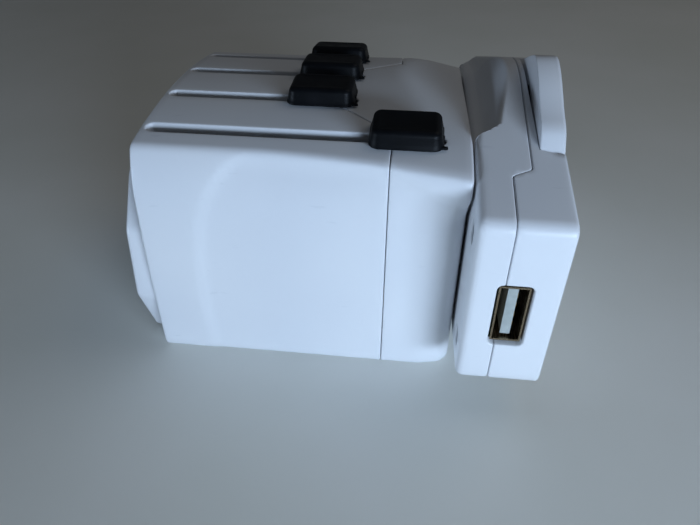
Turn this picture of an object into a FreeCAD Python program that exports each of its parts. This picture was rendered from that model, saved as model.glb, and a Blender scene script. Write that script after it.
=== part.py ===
"""Travel adapter with four slide-out country plugs and a pull-off USB charger module.

The adapter lies on its flat underside with its long axis along X. Its wall end, where the
plugs come out, points to -X, and the charger module sits on the +X end. The slider buttons
are on top (+Z) and the USB port looks to -Y. The origin is in the plane of the table.
"""
import FreeCAD, Part
import os
import Sketcher

doc = FreeCAD.newDocument("travel_adapter")

# Driving sizes in millimetres and degrees.
SIZES = {
    # main body: a moulded case with a crowned top and softly bowed sides
    "plate_depth": 4.7,
    "sleeve_length": 50.2,
    "cap_length": 15.2,
    "body_width": 66.4,
    "corner_radius": 6.0,
    "side_radius": 300.0,
    "shoulder_height": 38.0,
    "crease_inset": 5.2,
    "crease_height": 49.2,
    "crown_radius": 156.0,
    "case_wall": 2.3,
    "side_wall": 3.3,
    "end_wall": 2.5,
    "cavity_lean_drop": 4.0,
    "cap_corner_radius": 5.0,
    "facet_angle": 15.6,
    "facet_turn": 18.6,
    "facet_height": 51.1,
    "facet_start": 0.6,
    "facet_side": 13.6,
    "tongue_reach": 15.3,
    "tongue_root": 40.8,
    "tongue_tip": 13.4,
    "grip_depth": 1.0,
    "grip_start": 12.2,
    "grip_length": 47.6,
    "grip_bend_height": 32.0,
    "grip_bend_run": 15.0,
    # raised plate on the wall end: insets from the body's side, and heights
    "plate_foot_inset": 6.2,
    "plate_foot_height": 0.6,
    "plate_waist_inset": 1.2,
    "plate_waist_height": 14.5,
    "plate_shoulder_inset": 3.6,
    "plate_shoulder_height": 30.0,
    "plate_bevel_inset": 10.6,
    "plate_bevel_height": 39.9,
    "plate_top_inset": 17.7,
    "plate_top_height": 45.4,
    "plate_corner_radius": 2.5,
    # slots and slider buttons
    "slot_pitch": 14.5,
    "slot_width": 2.9,
    "slot_margin": 1.15,
    "short_slot_setback": 8.15,
    "long_slot_setback": 5.05,
    "button_setback": 0.45,
    "button_length": 14.2,
    "button_width": 11.4,
    "button_height": 3.4,
    "button_taper": 18.0,
    "button_edge_radius": 0.8,
    "button_corner_radius": 2.2,
    "neck_length": 13.0,
    "neck_width": 2.2,
    # running clearance of what slides, and clearance round pins
    "slide_gap": 0.3,
    "pin_gap": 0.4,
    # carriages: walls round the pin roots, upright columns under the sliders
    "carriage_depth": 13.2,
    "carriage_floor_gap": 0.7,
    "pin_root": 6.0,
    "pin_wall": 1.6,
    "blade_wall": 1.1,
    "earth_pin_wall": 0.6,
    "column_width": 5.6,
    "australia_block_width": 19.2,
    "europe_bar_height": 11.0,
    # plug pins: free length beyond the wall face, and sections
    "europe_pin_length": 19.0,
    "europe_pin_diameter": 4.0,
    "pin_spacing": 19.0,
    "us_pin_length": 17.5,
    "us_pin_thickness": 1.55,
    "us_pin_spacing": 12.7,
    "us_pin_shift": 2.15,
    "australia_pin_length": 17.1,
    "australia_pin_thickness": 1.6,
    "australia_pin_spacing": 13.7,
    "australia_pin_shift": 1.75,
    "australia_pin_angle": 30.0,
    "blade_height": 6.35,
    "uk_pin_length": 17.7,
    "uk_pin_width": 6.35,
    "uk_pin_height": 4.0,
    "uk_pin_spacing": 22.2,
    "uk_earth_length": 22.7,
    "uk_earth_width": 4.0,
    "uk_earth_height": 8.0,
    "uk_earth_rise": 22.2,
    # heights of the pin sets above the table
    "uk_level": 6.6,
    "europe_level": 17.5,
    "blade_level": 39.4,
    # conductors in the body
    "rail_thickness": 0.8,
    "rail_height": 5.0,
    "contact_length": 14.0,
    "contact_gap": 0.05,
    "fuse_length": 20.0,
    "fuse_diameter": 5.2,
    "fuse_height": 38.0,
    "fuse_side": 17.0,
    "fuse_setback": 6.4,
    "clip_width": 3.0,
    "clip_inset": 1.5,
    "clip_height": 6.8,
    "clip_lip": 1.0,
    "rail_setback": 2.0,
    "rail_play": 0.2,
    "earth_strip_width": 6.0,
    "earth_strip_gap": 2.1,
    "earth_tab_height": 7.7,
    # partition behind the short carriages
    "divider_gap": 1.8,
    "divider_thickness": 2.0,
    "divider_room": 0.6,
    # charger module
    "module_gap": 0.4,
    "module_depth": 16.6,
    "module_width": 86.0,
    "module_face_bottom": 9.6,
    "module_face_top": 46.5,
    "module_ridge_side": 8.0,
    "module_ridge_top": 57.0,
    "module_ridge_bottom": 0.4,
    "module_corner_radius": 2.5,
    "module_ridge_radius": 36.0,
    "module_wall": 1.8,
    "rear_shell_depth": 7.2,
    "disc_radius": 27.8,
    "disc_depth": 4.8,
    "disc_height": 32.4,
    "disc_seat_gap": 0.15,
    "disc_rim_width": 4.0,
    "disc_edge_radius": 0.8,
    "scoop_side": 2.0,
    "scoop_width": 38.0,
    "scoop_radius": 6.1,
    "scoop_height": 53.9,
    "port_width": 14.5,
    "port_height": 6.6,
    "port_level": 25.95,
    "port_offset": 1.1,
    "port_bay_margin": 3.0,
    "port_bay_gap": 0.3,
    "usb_shell_width": 13.1,
    "usb_shell_height": 5.7,
    "usb_shell_length": 12.6,
    "usb_shell_wall": 0.35,
    "usb_recess": 0.7,
    "usb_tongue_thickness": 1.84,
    "usb_tongue_width": 11.1,
    "usb_tongue_offset": 1.5,
    "usb_tongue_recess": 0.9,
    "usb_block_depth": 2.2,
    "usb_contact_thickness": 0.25,
    "usb_contact_width": 1.1,
    "usb_contact_pitch": 2.3,
    "usb_contact_recess": 1.6,
    "module_pin_length": 16.0,
    "holder_width": 28.0,
    "holder_height": 8.0,
    # circuit board behind the port, and the parts on it
    "board_thickness": 1.6,
    "board_near_inset": 10.4,
    "board_far_inset": 12.0,
    "board_bottom": 10.0,
    "board_top": 44.0,
    "board_nose_inset": 2.4,
    "board_nose_width": 17.8,
    "transformer_side": 1.0,
    "core_depth": 8.0,
    "core_width": 16.0,
    "core_height": 4.0,
    "coil_depth": 7.0,
    "coil_width": 12.0,
    "coil_height": 16.0,
    "input_capacitor_side": 15.5,
    "input_capacitor_level": 35.0,
    "input_capacitor_diameter": 8.0,
    "input_capacitor_length": 8.0,
    "output_capacitor_side": 16.0,
    "output_capacitor_level": 33.0,
    "output_capacitor_diameter": 6.3,
    "output_capacitor_length": 6.5,
    "chip_side": 10.6,
    "chip_level": 26.5,
    "chip_width": 4.0,
    "chip_height": 5.0,
    "chip_thickness": 1.6,
    "rectifier_level": 23.5,
    "rectifier_width": 5.0,
    "rectifier_thickness": 2.4,
    # module screws
    "screw_inset": 7.0,
    "screw_low": 14.0,
    "screw_high": 39.6,
    "screw_head_diameter": 3.8,
    "screw_head_height": 1.1,
    "screw_head_play": 0.35,
    "screw_sink_depth": 1.4,
    "screw_shank_diameter": 2.0,
    "screw_play": 0.2,
    "screw_thread_depth": 2.8,
    "screw_drive_radius": 0.8,
    "screw_post_radius": 2.7,
}

sheet = doc.addObject("Spreadsheet::Sheet", "Sizes")
for row, (name, value) in enumerate(SIZES.items(), start=1):
    sheet.set("A%d" % row, name)
    sheet.set("B%d" % row, str(value))
    sheet.setAlias("B%d" % row, name)
doc.recompute()


def size(name):
    """Expression text of one driving size."""
    return "Sizes." + name


def add(*terms):
    """Expression text of a sum."""
    return "(" + " + ".join(str(term) for term in terms) + ")"


def less(*terms):
    """Expression text of the first term less all the others."""
    return "(" + " - ".join(str(term) for term in terms) + ")"


def times(first, second):
    """Expression text of a product."""
    return "(%s * %s)" % (first, second)


def half(term):
    """Expression text of half a length."""
    return times("0.5", term)


def minus(term):
    """Expression text of a negated length."""
    return "(0 - %s)" % term


def number(text):
    """The present value of an expression."""
    value = sheet.evalExpression(str(text))
    return float(getattr(value, "Value", value))


# Places along X, worked out from the driving sizes.
BODY_LENGTH = add(size("sleeve_length"), size("cap_length"))
TOTAL_LENGTH = add(size("plate_depth"), BODY_LENGTH, size("module_gap"), size("module_depth"))
MODULE_RIGHT = half(TOTAL_LENGTH)
WALL_FACE = minus(MODULE_RIGHT)
BODY_LEFT = add(WALL_FACE, size("plate_depth"))
CAVITY_LEFT = add(BODY_LEFT, size("end_wall"))
SEAM = add(BODY_LEFT, size("sleeve_length"))
BODY_RIGHT = add(SEAM, size("cap_length"))
CAVITY_RIGHT = less(BODY_RIGHT, size("end_wall"))
MODULE_LEFT = add(BODY_RIGHT, size("module_gap"))
PARTING = add(MODULE_LEFT, size("rear_shell_depth"))
DISC_LEFT = less(MODULE_RIGHT, size("disc_depth"))
SLOT_LEFT = add(BODY_LEFT, size("slot_margin"))

# Places across the body.
CREASE_HALF = less(half(size("body_width")), size("crease_inset"))
CAVITY_HALF = less(half(size("body_width")), size("side_wall"))
CAVITY_FLOOR = size("case_wall")
CAVITY_TOP = less(size("crease_height"), size("case_wall"))
CARRIAGE_FLOOR = add(CAVITY_FLOOR, size("carriage_floor_gap"))
CARRIAGE_TOP = less(CAVITY_TOP, size("slide_gap"))
OVER_TOP = add(size("crease_height"), "12")

# The four plugs from the near side to the far side: sideways place and end of the slot.
SIDE = {
    "uk": times("-1.5", size("slot_pitch")),
    "us": times("-0.5", size("slot_pitch")),
    "australia": times("0.5", size("slot_pitch")),
    "europe": times("1.5", size("slot_pitch")),
}
SLOT_RIGHT = {plug: less(SEAM, size("short_slot_setback")) for plug in SIDE}
SLOT_RIGHT["uk"] = less(BODY_RIGHT, size("long_slot_setback"))
NECK_RIGHT = {plug: less(SLOT_RIGHT[plug], size("slide_gap")) for plug in SIDE}
FRONT = {plug: less(NECK_RIGHT[plug], size("neck_length")) for plug in SIDE}
US_MIDDLE = less(SIDE["us"], size("us_pin_shift"))
AUSTRALIA_MIDDLE = add(SIDE["australia"], size("australia_pin_shift"))


def bind(thing, **expressions):
    """Bind properties of an object to expressions; double underscores stand for dots."""
    for name, text in expressions.items():
        thing.setExpression(name.replace("__", "."), str(text))


def move(thing, x, y, z):
    """Bind the place of an object."""
    bind(thing, Placement__Base__x=x, Placement__Base__y=y, Placement__Base__z=z)


def turned(thing, axis, angle):
    """Turn an object about an axis by a bound angle; the place is bound afterwards."""
    thing.Placement = FreeCAD.Placement(FreeCAD.Vector(), FreeCAD.Rotation(axis, 1.0))
    bind(thing, Placement__Rotation__Angle=angle)


def box(name, x, y, z, dx, dy, dz):
    """A block from its low corner and its three side lengths."""
    block = doc.addObject("Part::Box", name)
    bind(block, Length=dx, Width=dy, Height=dz)
    move(block, x, y, z)
    return block


def span(name, x, y, z):
    """A block from pairs of low and high places along X, Y and Z."""
    return box(name, x[0], y[0], z[0], less(x[1], x[0]), less(y[1], y[0]), less(z[1], z[0]))


def around(middle, width):
    """Low and high place of a width about a middle."""
    return less(middle, half(width)), add(middle, half(width))


def post(name, x, y, z, radius, height):
    """A round upright."""
    bar = doc.addObject("Part::Cylinder", name)
    bind(bar, Radius=radius, Height=height)
    move(bar, x, y, z)
    return bar


def rod(name, x, y, z, radius, length):
    """A round bar along +X."""
    bar = doc.addObject("Part::Cylinder", name)
    turned(bar, FreeCAD.Vector(0, 1, 0), "90")
    bind(bar, Radius=radius, Height=length)
    move(bar, x, y, z)
    return bar


def cross_rod(name, x, y, z, radius, length):
    """A round bar along +Y."""
    bar = doc.addObject("Part::Cylinder", name)
    turned(bar, FreeCAD.Vector(-1, 0, 0), "90")
    bind(bar, Radius=radius, Height=length)
    move(bar, x, y, z)
    return bar


def joined(name, pieces):
    """One solid out of touching or overlapping pieces."""
    whole = doc.addObject("Part::MultiFuse", name)
    whole.Shapes = pieces
    whole.Refine = True
    return whole


def group(name, pieces):
    """Separate solids kept together under one name."""
    together = doc.addObject("Part::Compound", name)
    together.Links = pieces
    return together


def cut(name, base, tools):
    """The base with every tool taken away."""
    rest = doc.addObject("Part::Cut", name)
    rest.Base = base
    rest.Tool = tools[0] if len(tools) == 1 else joined(name + "_cutter", tools)
    return rest


def shared(name, first, second):
    """What two solids have in common."""
    common = doc.addObject("Part::Common", name)
    common.Base = first
    common.Tool = second
    return common


def new_body(name, x="0", y="0", z="0"):
    """A PartDesign body whose own origin lies at the given place."""
    body = doc.addObject("PartDesign::Body", name)
    move(body, x, y, z)
    return body


def sketch_on(body, name, role, lift=None):
    """A sketch on an origin plane of the body, lifted off it by an expression."""
    plane = next(item for item in body.Origin.OriginFeatures if item.Role == role)
    sketch = body.newObject("Sketcher::SketchObject", name)
    sketch.AttachmentSupport = (plane, "")
    sketch.MapMode = "FlatFace"
    if lift is not None:
        bind(sketch, AttachmentOffset__Base__z=lift)
    return sketch


def dimension(sketch, label, kind, where, text):
    """A named dimension of a sketch, bound to an expression."""
    index = sketch.addConstraint(Sketcher.Constraint(kind, *where, number(text)))
    sketch.renameConstraint(index, label)
    sketch.setExpression("Constraints." + label, text)


def polygon(sketch, corners):
    """Closed polygon; every corner is a pair of expressions measured from the origin."""
    places = [FreeCAD.Vector(number(x), number(y), 0) for x, y in corners]
    count = len(corners)
    for index in range(count):
        sketch.addGeometry(Part.LineSegment(places[index], places[(index + 1) % count]))
    for index in range(count):
        sketch.addConstraint(Sketcher.Constraint("Coincident", index, 2, (index + 1) % count, 1))
    for index, (x, y) in enumerate(corners):
        dimension(sketch, "across%d" % index, "DistanceX", (-1, 1, index, 1), x)
        dimension(sketch, "up%d" % index, "DistanceY", (-1, 1, index, 1), y)


def disc(sketch, radius):
    """A circle about the sketch origin."""
    sketch.addGeometry(Part.Circle(FreeCAD.Vector(), FreeCAD.Vector(0, 0, 1), number(radius)))
    sketch.addConstraint(Sketcher.Constraint("Coincident", 0, 3, -1, 1))
    dimension(sketch, "rim", "Radius", (0,), radius)


def pad(body, sketch, name, length, taper=None):
    """A straight or tapered boss from a sketch."""
    boss = body.newObject("PartDesign::Pad", name)
    boss.Profile = sketch
    bind(boss, Length=length)
    if taper is not None:
        bind(boss, TaperAngle=taper)
    doc.recompute()
    return boss


def pocket(body, sketch, name, length, reverse=False):
    """A straight cut from a sketch; it has to take material away."""
    before = body.Shape.Volume
    hole = body.newObject("PartDesign::Pocket", name)
    hole.Profile = sketch
    hole.Reversed = reverse
    bind(hole, Length=length)
    doc.recompute()
    if hole.Shape.Volume >= before:
        raise RuntimeError(name + " cuts nothing")
    return hole


def fillet(body, feature, name, radius, wanted):
    """Round the edges of a feature that pass a test on their middle point."""
    names = []
    for index, edge in enumerate(feature.Shape.Edges):
        middle = edge.valueAt(0.5 * (edge.FirstParameter + edge.LastParameter))
        if wanted(edge, middle):
            names.append("Edge%d" % (index + 1))
    rounding = body.newObject("PartDesign::Fillet", name)
    rounding.Base = (feature, names)
    bind(rounding, Radius=radius)
    doc.recompute()
    return rounding


def body_section(sketch, inset="0"):
    """Cross-section of the main body: flat underside, bowed sides and a crowned top.

    Round from the underside: level line, corner arc, side arc, tighter shoulder arc up to
    the crease, crown arc across, and the same on the other side. The side arc starts
    upright, and the shoulder arc leaves it smoothly.
    """
    width_text = less(half(size("body_width")), inset)
    crease_text = less(CREASE_HALF, inset)
    width = number(width_text)
    radius = number(size("corner_radius"))
    side = number(size("side_radius"))
    shoulder_z = number(size("shoulder_height"))
    shoulder_x = width - side + (side**2 - (shoulder_z - radius) ** 2) ** 0.5
    crease_x = number(crease_text)
    crease_z = number(size("crease_height"))
    crown = number(size("crown_radius"))
    crown_top = crease_z + crown - (crown**2 - crease_x**2) ** 0.5

    def line(x):
        start = FreeCAD.Vector(-x, 0, 0)
        sketch.addGeometry(Part.LineSegment(start, FreeCAD.Vector(x, 0, 0)))

    def arc(*points):
        sketch.addGeometry(Part.ArcOfCircle(*[FreeCAD.Vector(x, y, 0) for x, y in points]))

    def bulge(start, end, height):
        across, up = end[0] - start[0], end[1] - start[1]
        span_length = (across**2 + up**2) ** 0.5
        return (
            0.5 * (start[0] + end[0]) + height * up / span_length,
            0.5 * (start[1] + end[1]) - height * across / span_length,
        )

    foot = (width - radius, 0)
    flank = (width, radius)
    shoulder = (shoulder_x, shoulder_z)
    crease = (crease_x, crease_z)
    corner_bulge = bulge(foot, flank, 0.2929 * radius)
    side_bulge = bulge(flank, shoulder, (shoulder_z - radius) ** 2 / (8 * side))
    shoulder_bulge = bulge(shoulder, crease, 0.6)

    def across(point):
        return (-point[0], point[1])

    line(width - radius)
    arc(foot, corner_bulge, flank)
    arc(flank, side_bulge, shoulder)
    arc(shoulder, shoulder_bulge, crease)
    arc(crease, (0, crown_top), across(crease))
    arc(across(crease), across(shoulder_bulge), across(shoulder))
    arc(across(shoulder), across(side_bulge), across(flank))
    arc(across(flank), across(corner_bulge), across(foot))
    rules = [
        ("Coincident", 0, 2, 1, 1),
        ("Tangent", 1, 2, 2, 1),
        ("Tangent", 2, 2, 3, 1),
        ("Coincident", 3, 2, 4, 1),
        ("Coincident", 4, 2, 5, 1),
        ("Tangent", 5, 2, 6, 1),
        ("Coincident", 6, 2, 7, 1),
        ("Coincident", 7, 2, 0, 1),
        ("PointOnObject", 0, 1, -1),
        ("Vertical", 1, 3, 1, 1),
        ("Horizontal", 1, 3, 1, 2),
        ("Symmetric", 0, 1, 0, 2, -2),
        ("Symmetric", 1, 2, 6, 2, -2),
        ("Symmetric", 2, 2, 5, 2, -2),
        ("Symmetric", 3, 2, 4, 2, -2),
        ("Equal", 1, 7),
        ("Equal", 2, 6),
    ]
    for rule in rules:
        sketch.addConstraint(Sketcher.Constraint(*rule))
    dimension(sketch, "corner", "Radius", (1,), size("corner_radius"))
    dimension(sketch, "flank", "DistanceX", (-1, 1, 1, 2), width_text)
    dimension(sketch, "side", "Radius", (2,), size("side_radius"))
    dimension(sketch, "shoulder", "DistanceY", (-1, 1, 2, 2), size("shoulder_height"))
    dimension(sketch, "crease_x", "DistanceX", (-1, 1, 3, 2), crease_text)
    dimension(sketch, "crease_z", "DistanceY", (-1, 1, 3, 2), size("crease_height"))
    dimension(sketch, "crown", "Radius", (4,), size("crown_radius"))


def body_prism(name, start, length, inset="0"):
    """A length of the body's cross-section along X."""
    body = new_body(name, x=start)
    section = sketch_on(body, name + "_section", "YZ_Plane")
    body_section(section, inset)
    pad(body, section, name + "_pad", length)
    return body


def cavity_prism(name, start, end):
    """The hollow of the body: upright sides that lean in under the crown, and a flat roof."""
    body = new_body(name, x=start)
    section = sketch_on(body, name + "_section", "YZ_Plane")
    lean_half = less(CREASE_HALF, size("case_wall"))
    lean_start = less(size("shoulder_height"), size("cavity_lean_drop"))
    right = [(CAVITY_HALF, CAVITY_FLOOR), (CAVITY_HALF, lean_start), (lean_half, CAVITY_TOP)]
    left = [(minus(y), z) for y, z in reversed(right)]
    polygon(section, right + left)
    pad(body, section, name + "_pad", less(end, start))
    return body


def slot_tools(prefix):
    """Cutters of the four slots, from the hollow up through the crowned top."""
    tools = []
    low = less(CAVITY_TOP, "1")
    radius = half(size("slot_width"))
    for plug, side in SIDE.items():
        name = "%s_%s" % (prefix, plug)
        ends = add(SLOT_LEFT, radius), less(SLOT_RIGHT[plug], radius)
        tools.append(span(name + "_run", ends, around(side, size("slot_width")), (low, OVER_TOP)))
        for label, place in zip(("left", "right"), ends):
            tools.append(post("%s_%s" % (name, label), place, side, low, radius, less(OVER_TOP, low)))
    return tools


def tongue_prism(name):
    """Plan shape of the roof tongue that the end cap reaches over the sleeve with."""
    body = new_body(name, x=SEAM, z=CAVITY_TOP)
    plan = sketch_on(body, name + "_plan", "XY_Plane")
    root, tip = half(size("tongue_root")), half(size("tongue_tip"))
    reach = minus(size("tongue_reach"))
    polygon(plan, [("1", minus(root)), ("1", root), ("0.001", root), (reach, tip),
                   (reach, minus(tip)), ("0.001", minus(root))])
    pad(body, plan, name + "_pad", "15")
    return body


def grip_tool(name):
    """Hand relief on both sides: a skin of the side faces with a bent front edge.

    The front edge rises straight and then bends back towards the module end up to the top.
    """
    plan = new_body(name + "_outline", x=add(BODY_LEFT, size("grip_start")), y="-40")
    side = sketch_on(plan, name + "_side", "XZ_Plane", "-80")
    run = size("grip_bend_run")
    bend = size("grip_bend_height")
    crease = size("crease_height")
    rise = less(crease, bend)
    corners = [
        ("0.001", "-1"),
        (size("grip_length"), "-1"),
        (size("grip_length"), add(crease, "1")),
        (run, add(crease, "1")),
        (times("0.53", run), add(bend, times("0.83", rise))),
        (times("0.2", run), add(bend, times("0.5", rise))),
        ("0.001", bend),
    ]
    polygon(side, corners)
    pad(plan, side, name + "_side_pad", "80")
    core = body_prism(name + "_core", WALL_FACE, TOTAL_LENGTH, size("grip_depth"))
    return cut(name, plan, [core])


def facet_tool(name):
    """Sloped block that takes the top of the end cap down towards the module."""
    block = doc.addObject("Part::Box", name)
    turn = size("facet_turn")
    turned(block, FreeCAD.Vector(-0.3, 0.95, 0), size("facet_angle"))
    bind(block, Placement__Rotation__Axis__x="-sin(%s)" % turn)
    bind(block, Placement__Rotation__Axis__y="cos(%s)" % turn)
    bind(block, Length="60", Width="120", Height="30")
    doc.recompute()
    shift = block.Placement.Rotation.multVec(FreeCAD.Vector(-20, -60, 0))
    move(block, add(SEAM, size("facet_start"), shift.x), add(size("facet_side"), shift.y),
         add(size("facet_height"), shift.z))
    return block


def pin_pieces(prefix, plug, play="0"):
    """Pins of one plug, or their clearance cutters through the wall end when play is given.

    Free pins end at the wall face plus their free length when their carriage stands against
    the end wall. At rest they are drawn back by the travel of the slider.
    """
    cutter = play != "0"
    root = add(FRONT[plug], size("pin_root"))
    hidden = add(size("plate_depth"), size("end_wall"), size("slide_gap"), size("pin_root"))
    level = size("blade_level")

    def place(length):
        if cutter:
            return less(WALL_FACE, "1"), add(CAVITY_LEFT, "1")
        return less(root, add(length, hidden)), root

    def flat(name, side, height, length, width, tall):
        wide = add(width, times("2", play))
        high = add(tall, times("2", play))
        return span("%s_%s_%s" % (prefix, plug, name), place(length), around(side, wide),
                    around(height, high))

    if plug == "uk":
        level = size("uk_level")
        spread = half(size("uk_pin_spacing"))
        length, width, tall = [size("uk_pin_" + word) for word in ("length", "width", "height")]
        return [
            flat("live", minus(spread), level, length, width, tall),
            flat("neutral", spread, level, length, width, tall),
            flat("earth", "0", add(level, size("uk_earth_rise")), size("uk_earth_length"),
                 size("uk_earth_width"), size("uk_earth_height")),
        ]
    if plug == "us":
        spread = half(size("us_pin_spacing"))
        return [
            flat(name, add(US_MIDDLE, times(turn, spread)), level, size("us_pin_length"),
                 size("us_pin_thickness"), size("blade_height"))
            for name, turn in (("live", -1), ("neutral", 1))
        ]
    if plug == "australia":
        angle = size("australia_pin_angle")
        wide = add(size("australia_pin_thickness"), times("2", play))
        high = add(size("blade_height"), times("2", play))
        low, end = place(size("australia_pin_length"))
        blades = []
        for name, turn in (("live", -1), ("neutral", 1)):
            blade = doc.addObject("Part::Box", "%s_%s_%s" % (prefix, plug, name))
            turned(blade, FreeCAD.Vector(-turn, 0, 0), angle)
            bind(blade, Length=less(end, low), Width=wide, Height=high)
            lean = half("(%s * cos(%s) + %d * %s * sin(%s))" % (wide, angle, turn, high, angle))
            drop = half("(%s * cos(%s) - %d * %s * sin(%s))" % (high, angle, turn, wide, angle))
            middle = add(AUSTRALIA_MIDDLE, times(turn, half(size("australia_pin_spacing"))))
            move(blade, low, less(middle, lean), less(level, drop))
            blades.append(blade)
        return blades
    radius = add(half(size("europe_pin_diameter")), play)
    low, end = place(size("europe_pin_length"))
    return [
        rod("%s_%s_%s" % (prefix, plug, name), low, times(turn, half(size("pin_spacing"))),
            size("europe_level"), radius, less(end, low))
        for name, turn in (("live", -1), ("neutral", 1))
    ]


def wall_holes(prefix):
    """Clearance cutters of every pin through the wall end."""
    return [tool for plug in SIDE for tool in pin_pieces(prefix, plug, size("pin_gap"))]


def make_sleeve():
    """Outer case from the wall end to the seam."""
    block = body_prism("sleeve_block", BODY_LEFT, size("sleeve_length"))
    hollow = cavity_prism("sleeve_hollow", CAVITY_LEFT, add(SEAM, "1"))
    tools = [hollow, tongue_prism("sleeve_tongue_notch"), grip_tool("sleeve_grip")]
    return cut("main_sleeve", block, tools + slot_tools("sleeve_slot") + wall_holes("sleeve_hole"))


def make_end_cap():
    """Closed end of the case on the module side, with the roof tongue and a sloped top."""
    block = body_prism("cap_block", SEAM, size("cap_length"))
    plan = new_body("cap_plan", x=BODY_RIGHT, z="-1")
    outline = sketch_on(plan, "cap_plan_outline", "XY_Plane")
    wide = add(half(size("body_width")), "0.01")
    polygon(outline, [("0.001", minus(wide)), ("0.001", wide), ("-40", wide), ("-40", minus(wide))])
    plan_pad = pad(plan, outline, "cap_plan_pad", "70")
    fillet(plan, plan_pad, "cap_plan_corners", size("cap_corner_radius"),
           lambda edge, at: abs(edge.BoundBox.XLength) < 0.01 and abs(edge.BoundBox.YLength) < 0.01
           and at.x > -1)
    rounded = shared("cap_rounded", block, plan)
    long_block = body_prism("tongue_block", less(SEAM, size("tongue_reach")),
                            add(size("tongue_reach"), "2"))
    tongue = shared("cap_tongue", long_block, tongue_prism("cap_tongue_plan"))
    whole = joined("cap_with_tongue", [rounded, tongue])
    hollow = cavity_prism("cap_hollow", less(SEAM, "1"), CAVITY_RIGHT)
    holes = [
        rod("cap_pin_hole_%s" % name, less(CAVITY_RIGHT, "1"), times(turn, half(size("pin_spacing"))),
            size("europe_level"), add(half(size("europe_pin_diameter")), size("pin_gap")),
            add(size("end_wall"), "2"))
        for name, turn in (("live", -1), ("neutral", 1))
    ]
    tools = [hollow, facet_tool("cap_facet"), grip_tool("cap_grip")]
    return cut("end_cap", whole, tools + slot_tools("cap_slot") + holes)


def make_face_plate():
    """Raised plate on the wall end with a hole for every pin."""
    body = new_body("face_plate_block", x=WALL_FACE)
    section = sketch_on(body, "face_plate_section", "YZ_Plane")
    right = [
        (less(half(size("body_width")), size("plate_%s_inset" % word)), size("plate_%s_height" % word))
        for word in ("foot", "waist", "shoulder", "bevel", "top")
    ]
    left = [(minus(y), z) for y, z in reversed(right)]
    polygon(section, right + left)
    plate = pad(body, section, "face_plate_pad", size("plate_depth"))
    fillet(body, plate, "face_plate_corners", size("plate_corner_radius"),
           lambda edge, at: abs(edge.BoundBox.XLength) > 2)
    return cut("face_plate", body, wall_holes("face_plate_hole"))


def make_button(plug):
    """Slider button: a tapered cap square to the crown, on a neck down through its slot."""
    name = plug + "_slider_button"
    side = SIDE[plug]
    tilt = "asin(%s / %s)" % (side, size("crown_radius"))
    crown = size("crown_radius")
    crown_centre = "(%s - sqrt(%s * %s - %s * %s))" % (
        size("crease_height"), crown, crown, CREASE_HALF, CREASE_HALF)
    ride = add(crown, size("slide_gap"))
    middle = less(SLOT_RIGHT[plug], size("button_setback"), half(size("button_length")))
    body = doc.addObject("PartDesign::Body", name + "_cap")
    turned(body, FreeCAD.Vector(-1, 0, 0), tilt)
    move(body, middle, times(ride, "sin(%s)" % tilt), add(crown_centre, times(ride, "cos(%s)" % tilt)))
    plan = sketch_on(body, name + "_plan", "XY_Plane")
    long, wide = half(size("button_length")), half(size("button_width"))
    polygon(plan, [(long, minus(wide)), (long, wide), (minus(long), wide), (minus(long), minus(wide))])
    cap = pad(body, plan, name + "_pad", size("button_height"), minus(size("button_taper")))
    corners = fillet(body, cap, name + "_corners", size("button_corner_radius"),
                     lambda edge, at: 1 < edge.BoundBox.ZLength and edge.Length < 5)
    height = number(size("button_height"))
    fillet(body, corners, name + "_edges", size("button_edge_radius"),
           lambda edge, at: all(abs(v.Point.z - height) < 0.01 for v in edge.Vertexes))
    neck_top = add(crown_centre, times(ride, "cos(%s)" % tilt), "1")
    radius = half(size("neck_width"))
    ends = add(FRONT[plug], radius), less(NECK_RIGHT[plug], radius)
    neck = [span(name + "_neck", ends, around(side, size("neck_width")), (CARRIAGE_TOP, neck_top))]
    for label, place in zip(("left", "right"), ends):
        neck.append(post("%s_neck_%s" % (name, label), place, side, CARRIAGE_TOP, radius,
                         less(neck_top, CARRIAGE_TOP)))
    return joined(name, [body] + neck)


def make_carriage(plug, blocks):
    """Insulating carriage behind the pins of one plug, moulded round their roots."""
    depth = FRONT[plug], add(FRONT[plug], size("carriage_depth"))
    pieces = [
        span("%s_carriage_%s" % (plug, label), depth, y, z) for label, y, z in blocks
    ]
    whole = pieces[0] if len(pieces) == 1 else joined(plug + "_carriage_block", pieces)
    pins = group(plug + "_pins", pin_pieces("pin", plug))
    return cut(plug + "_carriage", whole, [pins]), pins


def make_rail(name, turn):
    """Stamped conductor: side rail, strip across the cap's end wall and a round socket."""
    wall = less(CAVITY_HALF, size("rail_thickness"))
    level = size("europe_level")
    pin_side = half(size("pin_spacing"))
    thick = size("rail_thickness")
    high = around(level, size("rail_height"))
    inner_radius = add(half(size("europe_pin_diameter")), size("contact_gap"))
    outer_radius = add(inner_radius, thick)

    def mirrored(pair):
        return pair if turn == 1 else (minus(pair[1]), minus(pair[0]))

    rail = span(name + "_side", (add(CAVITY_LEFT, size("rail_setback")), CAVITY_RIGHT),
                mirrored((wall, CAVITY_HALF)), high)
    strip = span(name + "_strip", (less(CAVITY_RIGHT, thick), CAVITY_RIGHT),
                 mirrored((pin_side, CAVITY_HALF)), high)
    sleeve = rod(name + "_sleeve", less(CAVITY_RIGHT, size("contact_length")), times(turn, pin_side),
                 level, outer_radius, size("contact_length"))
    bore = rod(name + "_bore", less(CAVITY_RIGHT, size("contact_length"), "1"), times(turn, pin_side),
               level, inner_radius, add(size("contact_length"), "2"))
    return cut(name, joined(name + "_blank", [rail, strip, sleeve]), [bore])


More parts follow.
